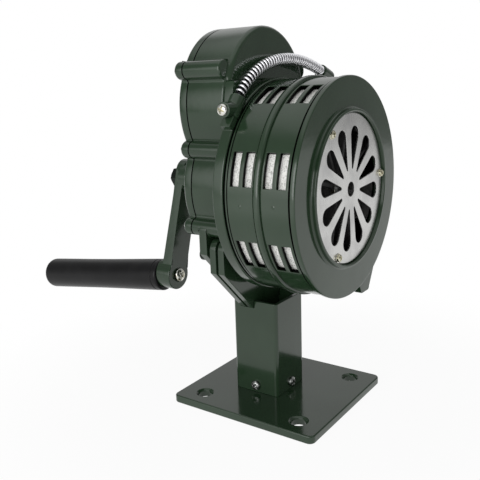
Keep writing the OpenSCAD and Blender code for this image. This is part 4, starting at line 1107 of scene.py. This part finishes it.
@dataclass(frozen=True)
class CrossHead:
    """A pan head screw with a cross recess. Shares are of the head's width, or of its height."""

    head_d: float
    shank_d: float
    height_share: float = 0.4
    skirt_share: float = 0.35
    recess_len_share: float = 0.66
    recess_w_share: float = 0.17
    recess_depth_share: float = 0.8
    wall_share: float = 0.05
    tip_share: float = 0.55
    first_turn: float = 0.5
    next_turn: float = 1.9
    rings: int = 26
    sectors: int = 72

    def tall(self) -> float:
        """Height of the head."""
        return self.head_d * self.height_share

    def surface(self, seat: np.ndarray, axis: np.ndarray, shank_len: float, turn: float) -> Surface:
        """The screw as one closed surface.

        On the head, the height over the seat is a dome, which is the skirt plus the rest of the
        height times the root of one less the squared share of the radius. Less than that by the
        recess: its depth times the larger of two arms, where an arm is a smooth step across its
        width times one along its length, and fades towards its tips. Below the head come the
        skirt, the seat and the shank.

        Args:
            seat: Middle of the face that the head sits on, in millimetres.
            axis: Unit direction out of the head.
            shank_len: Length of the shank.
            turn: Angle of the recess, in radians.

        Returns:
            Points in metres and quads.
        """
        side, other = across(axis)
        rim = self.head_d / 2
        tall = self.tall()
        skirt = tall * self.skirt_share
        share = np.sin(np.linspace(0, np.pi / 2, self.rings))[:, None]
        angle = np.linspace(0, 2 * np.pi, self.sectors, endpoint=False)[None, :]
        dome = skirt + (tall - skirt) * np.sqrt(np.clip(1 - share**2, 0, 1)) + 0 * angle
        flat = share * rim
        along = flat * np.cos(angle + turn)
        aside = flat * np.sin(angle + turn)
        recess = np.maximum(self._arm(along, aside), self._arm(aside, along))
        height = dome - tall * self.recess_depth_share * recess
        shank = self.shank_d / 2
        under = np.array([[rim, 0.0], [shank, 0.0], [shank, -shank_len], [0.0, -shank_len]])
        radius = np.concatenate([flat + 0 * angle, np.repeat(under[:, :1], self.sectors, 1)])[..., None]
        height = np.concatenate([height, np.repeat(under[:, 1:], self.sectors, 1)])[..., None]
        turned = np.cos(angle)[..., None] * side + np.sin(angle)[..., None] * other
        points = seat + height * axis + radius * turned
        return points.reshape(-1, 3) * MM, grid_faces(len(radius), self.sectors)

    def _arm(self, along: np.ndarray, aside: np.ndarray) -> np.ndarray:
        """One arm of the cross.

        Args:
            along: Distances along the arm from the head's middle.
            aside: Distances across it.

        Returns:
            1 in the arm, 0 outside it, with a smooth wall and a root fade over its tips.
        """
        wall = self.head_d * self.wall_share
        half_w = self.head_d * self.recess_w_share / 2
        half_len = self.head_d * self.recess_len_share / 2
        inside = np.clip((half_w + wall / 2 - np.abs(aside)) / wall, 0, 1)
        ends = np.clip((half_len - np.abs(along)) / (half_len * self.tip_share), 0, 1)
        return rise_share(inside) * np.sqrt(ends)

    def fill(self, name: str, node: str, out: list[np.ndarray]) -> bpy.types.Object:
        """Screws in the stead of each solid in a CAD node, which gives their places and lengths.

        Args:
            name: The piece's name.
            node: The CAD node of the screws.
            out: The direction out of each screw's head, or one direction for all.

        Returns:
            The object.
        """
        made = []
        for number, points in enumerate(solids_of(node)):
            axis = out[number % len(out)]
            middle = middle_of(points)
            along = points @ axis
            seat = middle + axis * (along.max() - self.tall() - middle @ axis)
            shank_len = along.max() - along.min() - self.tall()
            made.append(self.surface(seat, axis, shank_len, self.first_turn + self.next_turn * number))
        return shaped(name, joined(made), WIRE_SHARP_DEG)


# Sub-assemblies


@dataclass
class Base:
    """Bolt-down plate and the square post on it."""

    plate_ease: float = 0.35
    post_ease: float = 0.5
    screw: CrossHead = CrossHead(8.0, 4.0)

    def build(self, finishes: Finishes) -> None:
        """Makes the plate, the post and the screws at the post's foot, and dresses the socket.

        Args:
            finishes: The finishes.
        """
        settle(eased("base_plate_body", "base_plate", self.plate_ease), "base_plate", finishes.rolled)
        settle(eased("post_tube", "post", self.post_ease), "post", finishes.drawn)
        dress("post_socket", finishes.rolled)
        settle(self._screws(), "post_screws", finishes.zinc)

    def _screws(self) -> bpy.types.Object:
        """The post's screws, which point away from its axis.

        A screw's direction is the one of X and Y in which it stands farther from the post's middle.

        Returns:
            The object.
        """
        low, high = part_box("post")
        middle = np.array((low + high) / 2) / MM
        away = np.array([middle_of(points) - middle for points in solids_of("post_screws")])[:, :2]
        far = np.abs(away) == np.abs(away).max(1, keepdims=True)
        out = np.pad(np.where(far, np.sign(away), 0.0), ((0, 0), (0, 1)))
        return self.screw.fill("post_cross_screws", "post_screws", list(out))


@dataclass
class Saddle:
    """The two plates that hold the horn, with their spacers and bolts."""

    plate_ease: float = 0.5
    bolt_ease: float = 0.35

    def build(self, finishes: Finishes) -> None:
        """Makes the plates and bolts, and dresses the spacers.

        Args:
            finishes: The finishes.
        """
        for node in ("saddle_front", "saddle_rear"):
            settle(eased(f"{node}_plate", node, self.plate_ease), node, finishes.rolled)
        dress("saddle_spacers", finishes.plated)
        bolts = eased("saddle_socket_bolts", "saddle_bolts", self.bolt_ease)
        settle(bolts, "saddle_bolts", finishes.blackened)


@dataclass
class Housing:
    """Gear housing, its rear cover, and the bearing carrier that joins it to the horn.

    The dome's front edge takes a wider rounding than the rest.
    """

    casting_ease: float = 0.7
    carrier_ease: float = 0.4
    dome: Band = Band(2.8, 3.2, 51.5, 52.5, 3.2, 5, 65.7)
    screw: CrossHead = CrossHead(7.0, 3.6)

    def build(self, finishes: Finishes) -> None:
        """Makes the castings and the cover's screws.

        Args:
            finishes: The finishes.
        """
        castings = {
            "gear_housing": (self.casting_ease, self.dome, finishes.case),
            "rear_cover": (self.casting_ease, None, finishes.case),
            "bearing_carrier": (self.carrier_ease, None, finishes.cast),
        }
        for node, (ease, band, finish) in castings.items():
            settle(eased(f"{node}_casting", node, ease, band=band), node, finish)
        screws = self.screw.fill("cover_cross_screws", "cover_screws", [REARWARD])
        settle(screws, "cover_screws", finishes.plated)


@dataclass
class Stator:
    """Rear flange, slotted drum, dished front cover and the petal grille with its screws."""

    flange_ease: float = 0.5
    drum_ease: float = 0.4
    grille_ease: float = 0.22
    washer_ease: float = 0.12
    belt: Band = Band(-39.6, -33.4, 79.5, 82.0, 1.35)
    cover_back: float = 62.0
    rim_t: float = 3.5
    dish_depth: float = 1.5
    lip_r: float = 57.5
    lip_t: float = 2.5
    lip_h: float = 4.0
    lip_edge_r: float = 0.9
    rim_edge_r: float = 1.0
    foot_r: float = 1.6
    edge_r: float = 0.3
    back_edge_r: float = 0.5
    seat_w: float = 8.0
    grille_sink: float = 4.2
    wall: float = 3.0
    spigot_r: float = 75.95
    spigot_step: float = 1.0
    steps: int = 192
    screw: CrossHead = CrossHead(5.6, 3.0)

    def build(self, finishes: Finishes) -> None:
        """Makes the flange, drum, cover and grille, and dresses the screws inside.

        Args:
            finishes: The finishes.
        """
        flange = eased("rear_flange_casting", "rear_flange", self.flange_ease)
        settle(flange, "rear_flange", finishes.horn)
        drum = eased("stator_drum_casting", "stator_drum", self.drum_ease, band=self.belt)
        settle(drum, "stator_drum", finishes.horn)
        settle(self._cover(), "front_cover", finishes.horn)
        settle(eased("petal_grille", "grille", self.grille_ease), "grille", finishes.satin)
        washers = eased("washers", "grille_washers", self.washer_ease, 1)
        settle(washers, "grille_washers", finishes.plated)
        screws = self.screw.fill("grille_cross_screws", "grille_screws", [-REARWARD])
        settle(screws, "grille_screws", finishes.brassy)
        dress("flange_screws", finishes.plated)

    def _cover(self) -> bpy.types.Object:
        """The cover: a rim, a dished face and a raised lip round the grille, as one turned profile.

        Returns:
            The object.
        """
        back = -self.cover_back
        rim_face = back - self.rim_t
        dish = rim_face + self.dish_depth
        lip_face = dish - self.lip_h
        seat = lip_face + self.grille_sink
        lip_in = self.lip_r - self.lip_t
        mouth = lip_in - self.seat_w
        bore = self.spigot_r - self.wall
        corners = [
            (self.spigot_r, back, 0.0),
            (COVER_R, back, self.edge_r),
            (COVER_R, rim_face, self.rim_edge_r),
            (self.lip_r, dish, self.foot_r),
            (self.lip_r, lip_face, self.lip_edge_r),
            (lip_in, lip_face, self.lip_edge_r),
            (lip_in, seat, self.edge_r),
            (mouth, seat, self.edge_r),
            (mouth, seat + self.wall, self.edge_r),
            (self.lip_r, dish + self.wall, self.back_edge_r),
            (bore, rim_face + self.wall, self.back_edge_r),
            (bore, back + self.spigot_step, self.edge_r),
            (self.spigot_r, back + self.spigot_step, self.edge_r),
            (self.spigot_r, back, 0.0),
        ]
        place = np.array([0.0, 0.0, horn_axis().z / MM])
        surface = lathe(rounded(corners), place, REARWARD, self.steps)
        return shaped("front_cover_casting", surface, TURNED_SHARP_DEG)


@dataclass
class Bow:
    """Middle line of the carrying handle, a cubic curve in a plane square to the horn's axis.

    Angles are off the top, in degrees. The outs are distances over the cover's rim.
    """

    left_angle: float = -38.15
    left_out: float = 4.3
    left_pull: float = -14.5
    right_pull: float = 14.8
    pull_out: float = 22.0
    right_angle: float = 37.3
    right_out: float = 27.2
    plane_y: float = -5.2
    table: int = 400

    def _pulls(self) -> np.ndarray:
        """The curve's pull points, from their angles off the top and distances from the axis.

        Returns:
            Four rows of points in millimetres.
        """
        angle = np.radians([self.left_angle, self.left_pull, self.right_pull, self.right_angle])
        reach = COVER_R + np.array([self.left_out, self.pull_out, self.pull_out, self.right_out])
        height = horn_axis().z / MM + reach * np.cos(angle)
        return np.stack([reach * np.sin(angle), np.full(4, self.plane_y), height], 1)

    def _curve(self, t: np.ndarray) -> np.ndarray:
        """Points at t: the cubic of four pull points with the usual weights."""
        weights = np.stack([(1 - t) ** 3, 3 * (1 - t) ** 2 * t, 3 * (1 - t) * t**2, t**3], 1)
        return weights @ self._pulls()

    def _table(self) -> tuple[np.ndarray, np.ndarray, np.ndarray]:
        """Measures the curve.

        Returns:
            Even steps of t, their points, and the distance run along the curve to each.
        """
        t = np.linspace(0, 1, self.table)
        points = self._curve(t)
        steps = np.linalg.norm(np.diff(points, axis=0), axis=1)
        return t, points, np.concatenate([[0.0], np.cumsum(steps)])

    def length(self) -> float:
        """Length of the curve in millimetres."""
        return float(self._table()[2][-1])

    def at(self, distance: np.ndarray) -> tuple[np.ndarray, np.ndarray]:
        """Points and unit directions at distances along the curve, straight on past its ends.

        Args:
            distance: Distances from the left end, in millimetres.

        Returns:
            Points and directions.
        """
        t, points, run = self._table()
        inside = np.clip(distance, 0, run[-1])
        share = np.interp(inside, run, t)
        slopes = [np.interp(share, t, column) for column in np.gradient(points, axis=0).T]
        direction = unit_rows(np.stack(slopes, 1))
        return self._curve(share) + (distance - inside)[:, None] * direction, direction


@dataclass
class CarryHandle:
    """Wound spring over a steel cable, held in two painted sockets."""

    bow: Bow = field(default_factory=Bow)
    turns: int = 39
    coil_r: float = 3.3
    swell: float = 0.3
    swell_share: float = 0.25
    wire_d: float = 1.6
    wire_sides: int = 10
    end_gap: float = 0.75
    open_share: float = 0.3
    rings_per_turn: int = 22
    cable_r: float = 2.1
    cable_in: float = 9.5
    cable_rings: int = 90
    cable_sides: int = 20
    socket_ease: float = 0.5
    socket_steps: int = 3
    clamp: CrossHead = CrossHead(8.0, 4.0)
    clamp_turn: float = 0.4
    grub_bore_share: float = 0.45
    grub_floor_share: float = 0.35
    grub_rim_share: float = 0.9
    grub_bevel_share: float = 0.93
    grub_steps: int = 48

    def build(self, finishes: Finishes) -> None:
        """Makes the spring, the cable, the sockets and their screws.

        Args:
            finishes: The finishes.
        """
        settle(self._spring(), "handle_spring", finishes.bright_wire)
        # The cable's darker steel is painted shade between the spring's coils
        settle(self._cable(), "handle_core", finishes.dark_steel)
        for node in ("handle_socket_left", "handle_socket_right"):
            socket = eased(f"{node}_casting", node, self.socket_ease, self.socket_steps)
            settle(socket, node, finishes.cast)
        settle(self._screws(), "handle_screws", finishes.plated)

    def _spring(self) -> bpy.types.Object:
        """The spring: a helix about the bow whose turns stand wider apart at the left end.

        A point at share u of the winding lies on the bow at a distance that grows as u plus the
        open share times (1 - (1 - u) cubed) / 3, scaled to the whole length. It is set off
        by the coil's radius, at a turn of u times the number of turns. The radius grows from the left
        end by the swell times the smooth step of u over the swell's share of it.

        Returns:
            The object.
        """
        u = np.linspace(0, 1, self.turns * self.rings_per_turn + 1)
        spread = u + self.open_share * (1 - (1 - u) ** 3) / 3
        wound = self.bow.length() - 2 * self.end_gap
        middle, run = self.bow.at(self.end_gap + wound * spread / spread[-1])
        across_bow = np.stack([-run[:, 2], 0 * u, run[:, 0]], 1)
        angle = 2 * np.pi * self.turns * u[:, None]
        outward = np.cos(angle) * across_bow + np.sin(angle) * REARWARD
        grown = rise_share(np.clip(u / self.swell_share, 0, 1))
        radius = (self.coil_r + self.swell * grown)[:, None]
        surface = wire(middle + radius * outward, outward, self.wire_d / 2, self.wire_sides)
        return shaped("handle_wound_spring", surface, WIRE_SHARP_DEG)

    def _cable(self) -> bpy.types.Object:
        """The cable inside the spring, a wire along the bow and into both sockets.

        Returns:
            The object.
        """
        end = self.bow.length() + self.cable_in
        middle, _ = self.bow.at(np.linspace(-self.cable_in, end, self.cable_rings))
        outward = np.tile(REARWARD, (len(middle), 1))
        surface = wire(middle, outward, self.cable_r, self.cable_sides)
        return shaped("handle_cable", surface, WIRE_SHARP_DEG)

    def _screws(self) -> bpy.types.Object:
        """The clamp screw of the left socket and the headless screw of the right one.

        Returns:
            The object.
        """
        left, right = sorted(solids_of("handle_screws"), key=lambda points: points[:, 0].min())
        seat = middle_of(left)
        seat[0] = left[:, 0].min() + self.clamp.tall()
        shank_len = float(np.ptp(left[:, 0])) - self.clamp.tall()
        outward = np.array([-1.0, 0.0, 0.0])
        clamp = self.clamp.surface(seat, outward, shank_len, self.clamp_turn)
        return shaped("handle_clamp_screws", joined([clamp, self._grub(right)]), TURNED_SHARP_DEG)

    def _grub(self, points: np.ndarray) -> Surface:
        """The headless screw as a turned profile with a blind hole in its rear end.

        Args:
            points: Points of the CAD screw in millimetres.

        Returns:
            Points in metres and quads.
        """
        radius = float(np.ptp(points[:, 0])) / 2
        deep = float(np.ptp(points[:, 1]))
        shares = np.array([
            (0.0, self.grub_floor_share),
            (self.grub_bore_share, self.grub_floor_share),
            (self.grub_bore_share, 1.0),
            (self.grub_rim_share, 1.0),
            (1.0, self.grub_bevel_share),
            (1.0, 0.0),
            (0.0, 0.0),
        ])
        place = middle_of(points)
        place[1] = points[:, 1].min()
        return lathe(shares * (radius, deep), place, REARWARD, self.grub_steps)


@dataclass
class Drive:
    """Rotor, gears, shafts, bearings and bushes."""

    rotor_ease: float = 0.4
    nut_ease: float = 0.4
    bushes: tuple[str, ...] = ("intermediate_bushes", "crank_bushes")
    steels: tuple[str, ...] = (
        "rotor_bearings",
        "rotor_shaft",
        "rotor_pinion",
        "intermediate_shaft",
        "intermediate_wheel",
        "intermediate_pinion",
        "crank_shaft",
        "crank_wheel",
    )

    def build(self, finishes: Finishes) -> None:
        """Makes the rotor and its nut, and dresses what else turns inside.

        Args:
            finishes: The finishes.
        """
        settle(eased("rotor_casting", "rotor", self.rotor_ease), "rotor", finishes.alloy)
        settle(eased("rotor_hex_nut", "rotor_nut", self.nut_ease), "rotor_nut", finishes.plated)
        for node in self.bushes:
            dress(node, finishes.bronze)
        for node in self.steels:
            dress(node, finishes.steel)


@dataclass
class Crank:
    """Crank arm and the grip that spins on its pin."""

    arm_ease: float = 0.8
    arm_steps: int = 3
    nut_ease: float = 0.5
    grip_nut_ease: float = 0.4
    pin: CrossHead = CrossHead(10.8, 8.0, 0.24, 0.2)
    pin_turn: float = 0.75
    grip_r: float = 13.6
    grip_len: float = 143.0
    waist: float = 0.35
    waist_points: int = 24
    waist_stop: float = 2.0
    front_r: float = 1.6
    far_r: float = 4.0
    far_lead: float = 1.0
    groove_at: float = 5.0
    groove_w: float = 1.2
    groove_depth: float = 0.6
    groove_edge_r: float = 0.25
    bore_r: float = 4.05
    recess_r: float = 7.3
    recess_depth: float = 7.0
    mouth_edge_r: float = 0.8
    recess_edge_r: float = 0.3
    steps: int = 96

    def build(self, finishes: Finishes) -> None:
        """Makes the arm, its nuts, the pin and the grip.

        Args:
            finishes: The finishes.
        """
        arm = eased("crank_arm_casting", "crank_arm", self.arm_ease, self.arm_steps)
        settle(arm, "crank_arm", finishes.cast)
        settle(eased("crank_hex_nut", "crank_nut", self.nut_ease), "crank_nut", finishes.blackened)
        settle(eased("grip_hex_nut", "grip_nut", self.grip_nut_ease), "grip_nut", finishes.plated)
        settle(self._pin(), "grip_pin", finishes.plated)
        settle(self._grip(), "grip", finishes.grip)

    def _line(self, node: str) -> tuple[np.ndarray, np.ndarray, np.ndarray]:
        """The grip's axis, and where a CAD node lies along it.

        Args:
            node: The CAD node.

        Returns:
            A point on the axis in millimetres, its unit direction, and the distance of each of
            the node's points along it from that point.
        """
        spin = joint("grip_spin")
        place = np.array(spin["pos_m"]) / MM
        axis = unit_rows(np.array(spin["axis"], float))
        return place, axis, (points_in(cad_mesh(node)) / MM - place) @ axis

    def _pin(self) -> bpy.types.Object:
        """The pin: a cross head in the arm's boss and a shank through the grip.

        Returns:
            The object.
        """
        place, axis, along = self._line("grip_pin")
        seat = place + axis * (along.min() + self.pin.tall())
        shank_len = float(np.ptp(along)) - self.pin.tall()
        surface = self.pin.surface(seat, -axis, shank_len, self.pin_turn)
        return shaped("grip_pin_screw", surface, WIRE_SHARP_DEG)

    def _grip(self) -> bpy.types.Object:
        """The grip: a bored bar with a shallow groove near the arm and a slight waist.

        Its radius is the full radius less the waist times the squared sine of half a turn along
        the length, less the groove's depth where the groove is.

        Returns:
            The object.
        """
        place, axis, along = self._line("grip")
        start = float(along.min())
        end = start + self.grip_len
        groove = start + self.groove_at
        floor = end - self.recess_depth
        run = np.linspace(
            groove + 2 * self.groove_w, end - self.far_r - self.waist_stop, self.waist_points
        )
        thin = self.waist * np.sin(np.pi * (run - start) / self.grip_len) ** 2
        wall = rounded([
            (self.bore_r, start, 0.0),
            (self.grip_r, start, self.front_r),
            (self.grip_r, groove, self.groove_edge_r),
            (self.grip_r - self.groove_depth, groove + self.groove_w / 2, self.groove_edge_r),
            (self.grip_r, groove + self.groove_w, self.groove_edge_r),
            (self.grip_r, groove + 1.5 * self.groove_w, 0.0),
        ])
        tail = rounded([
            (self.grip_r, end - self.far_r - self.far_lead, 0.0),
            (self.grip_r, end, self.far_r),
            (self.recess_r, end, self.mouth_edge_r),
            (self.recess_r, floor, self.recess_edge_r),
            (self.bore_r, floor, 0.0),
        ])
        close = np.array([[self.bore_r, start]])
        profile = np.concatenate([wall, np.stack([self.grip_r - thin, run], 1), tail, close])
        return shaped("grip_handle", lathe(profile, place, axis, self.steps), TURNED_SHARP_DEG)


@dataclass
class Studio:
    """Camera at the photograph's viewpoint, one soft lamp, a white sweep and a pale floor.

    What the paint mirrors is the sweep as glossy rays see it: a grey room, a backdrop behind the
    object that brightens upwards, a soft bright cone at the object's rear left, a bright ceiling,
    and white below the horizon. Ways are X and Y, or X, Y and Z, of a direction. An edge is
    the span over which a part of the room comes in.
    """

    eye: Triple = (-412.1, -265.4, 246.6)
    yaw_deg: float = 55.95
    pitch_deg: float = 13.05
    roll_deg: float = -1.47
    focal_px: float = 634.6
    centre_px: Span = (262.26, 237.71)
    image_px: float = 480.0
    sensor_mm: float = 36.0
    nearest_m: float = 0.01
    lamp_at: Triple = (-1.47, -0.05, 0.50)
    lamp_aim: Triple = (0.0, 0.0, 0.176)
    lamp_size: Span = (1.5, 0.9)
    lamp_watts: float = 12.0
    room: float = 0.30
    backdrop_way: Span = (0.84, 0.54)
    backdrop_edge: Span = (0.55, 0.80)
    backdrop: float = 0.4
    backdrop_rise: float = 0.85
    cone_way: Triple = (-0.913, 0.369, 0.174)
    cone_edge: Span = (0.90, 0.97)
    cone: float = 1.45
    ceiling: float = 1.0
    ceiling_edge: Span = (0.68, 0.86)
    ground_edge: Span = (-0.11, -0.07)
    ambient: float = 0.86
    lean: Triple = (-0.25, -0.14, -0.66)
    floor_r: float = 2400.0
    floor_hub_share: float = 0.02
    floor_sides: int = 96
    floor_grey: float = 0.82
    glow_share: float = 0.5
    glow_to_camera: float = 0.44
    glow_far_off: float = 0.06
    far_off_edge: Span = (0.12, 0.34)
    glow_to_mirrors: float = 0.36
    beam: float = 0.55
    beam_edge: Span = (0.30, 0.65)
    beam_slant: float = 0.68
    beam_side: Span = (-0.08, 0.06)

    def build(self) -> None:
        """Sets the camera, lamp, world and floor."""
        self._camera()
        self._lamp()
        self._world()
        self._floor()
        bpy.context.scene.view_settings.view_transform = "Standard"

    def _camera(self) -> None:
        """Places the camera. Its lens and shift follow from the picture's focal length and middle."""
        yaw, pitch, roll = map(math.radians, (self.yaw_deg, self.pitch_deg, self.roll_deg))
        ahead = Vector((math.sin(yaw) * math.cos(pitch), math.cos(yaw) * math.cos(pitch), -math.sin(pitch)))
        level = Vector((math.cos(yaw), -math.sin(yaw), 0.0))
        upright = level.cross(ahead)
        right = math.cos(roll) * level + math.sin(roll) * upright
        up = math.cos(roll) * upright - math.sin(roll) * level
        data = bpy.data.cameras.new("camera")
        data.sensor_width = self.sensor_mm
        data.lens = self.focal_px / self.image_px * self.sensor_mm
        data.shift_x = (self.image_px / 2 - self.centre_px[0]) / self.image_px
        data.shift_y = (self.centre_px[1] - self.image_px / 2) / self.image_px
        data.clip_start = self.nearest_m
        camera = placed("camera", data)
        turn = Matrix((right, up, -ahead)).transposed().to_4x4()
        camera.matrix_world = Matrix.Translation(Vector(self.eye) * MM) @ turn
        bpy.context.scene.camera = camera

    def _lamp(self) -> None:
        """Hangs the lamp, a large soft one at the left."""
        place = Vector(self.lamp_at)
        data = bpy.data.lights.new("left", "AREA")
        data.shape = "RECTANGLE"
        data.size, data.size_y = self.lamp_size
        data.energy = self.lamp_watts
        turn = (Vector(self.lamp_aim) - place).to_track_quat("-Z", "Y").to_matrix().to_4x4()
        placed("left", data).matrix_world = Matrix.Translation(place) @ turn

    def _world(self) -> None:
        """Makes the sweep: white to the camera, and the room and the ambient light to other rays.

        Glossy rays see the room of the class's docstring. All other rays see an ambient light that
        leans: its strength plus the product of the lean and the ray's direction.
        """
        world = bpy.data.worlds.new("sweep")
        bpy.context.scene.world = world
        bench = Bench(world)
        side, along, up = bench.split(bench.add("ShaderNodeTexCoord", out="Generated"))
        behind = self.backdrop_way[0] * side + self.backdrop_way[1] * along
        backdrop = self.backdrop + self.backdrop_rise * up
        room = self.room + (backdrop - self.room) * behind.step(*self.backdrop_edge)
        toward = self.cone_way[0] * side + self.cone_way[1] * along + self.cone_way[2] * up
        room = room + self.cone * toward.step(*self.cone_edge)
        room = room + (self.ceiling - room) * up.step(*self.ceiling_edge)
        room = room + (1.0 - room) * (1.0 - up.step(*self.ground_edge))
        ambient = self.ambient + self.lean[0] * side + self.lean[1] * along + self.lean[2] * up
        camera = bench.add("ShaderNodeLightPath", out="Is Camera Ray")
        glossy = camera.beside("Is Glossy Ray")
        seen = camera + glossy * room + (1.0 - camera.larger(glossy)) * ambient
        back = bench.add("ShaderNodeBackground", {}, {"Color": (1, 1, 1, 1), "Strength": seen})
        bench.add("ShaderNodeOutputWorld", {}, {"Surface": back})

    def _floor(self) -> None:
        """Lays the round pale floor.

        It glows white over a grey that takes light, by a share that is larger for camera rays, most
        of all far from the object, and larger for glossy and transmission rays. So it looks
        white, keeps a faint shadow near the object, and is pale in the paint. Glossy rays see
        it brighter in a beam towards the cone.
        """
        angle = np.linspace(0, 2 * np.pi, self.floor_sides, endpoint=False)
        rim = np.stack([np.cos(angle), np.sin(angle), 0 * angle], 1) * self.floor_r
        points = np.concatenate([rim * self.floor_hub_share, rim]) * MM
        faces = grid_faces(2, self.floor_sides).tolist() + [list(range(self.floor_sides))]
        mesh = bpy.data.meshes.new("floor")
        mesh.from_pydata(points.tolist(), [], faces)
        mesh.materials.append(self._floor_material())
        placed("floor", mesh)

    def _floor_material(self) -> bpy.types.Material:
        """Builds the floor's material.

        Returns:
            The material.
        """
        bench = Bench(bpy.data.materials.new("floor_pale"))
        camera = bench.add("ShaderNodeLightPath", out="Is Camera Ray")
        glossy = camera.beside("Is Glossy Ray")
        side, along, _ = bench.split(bench.place())
        toward = (self.cone_way[0] * side + self.cone_way[1] * along).step(*self.beam_edge)
        beam = toward * (1.0 - (along + self.beam_slant * side).step(*self.beam_side))
        peak = 1.0 + self.beam
        glow = bench.blend(glossy * beam, (1.0, 1.0, 1.0, 1.0), (peak, peak, peak, 1.0))
        far_off = ((side * side + along * along) ** 0.5).step(*self.far_off_edge)
        mirrored = glossy.larger(camera.beside("Is Transmission Ray"))
        shown = self.glow_to_camera + self.glow_far_off * far_off
        share = self.glow_share + shown * camera + self.glow_to_mirrors * mirrored
        grey = (self.floor_grey, self.floor_grey, self.floor_grey, 1.0)
        plain = bench.add("ShaderNodeBsdfDiffuse", {}, {"Color": grey})
        white = bench.add("ShaderNodeEmission", {}, {"Color": glow, "Strength": 1.0})
        mixed = bench.add("ShaderNodeMixShader", {}, {0: share, 1: plain, 2: white})
        bench.add("ShaderNodeOutputMaterial", {}, {"Surface": mixed})
        return bench.owner


def main() -> None:
    """Builds the studio and every sub-assembly."""
    logging.basicConfig(level=logging.INFO, format="%(message)s")
    Studio().build()
    finishes = Finishes()
    for part in (Base(), Saddle(), Housing(), Stator(), CarryHandle(), Drive(), Crank()):
        part.build(finishes)


if __name__ == "__main__":
    main()
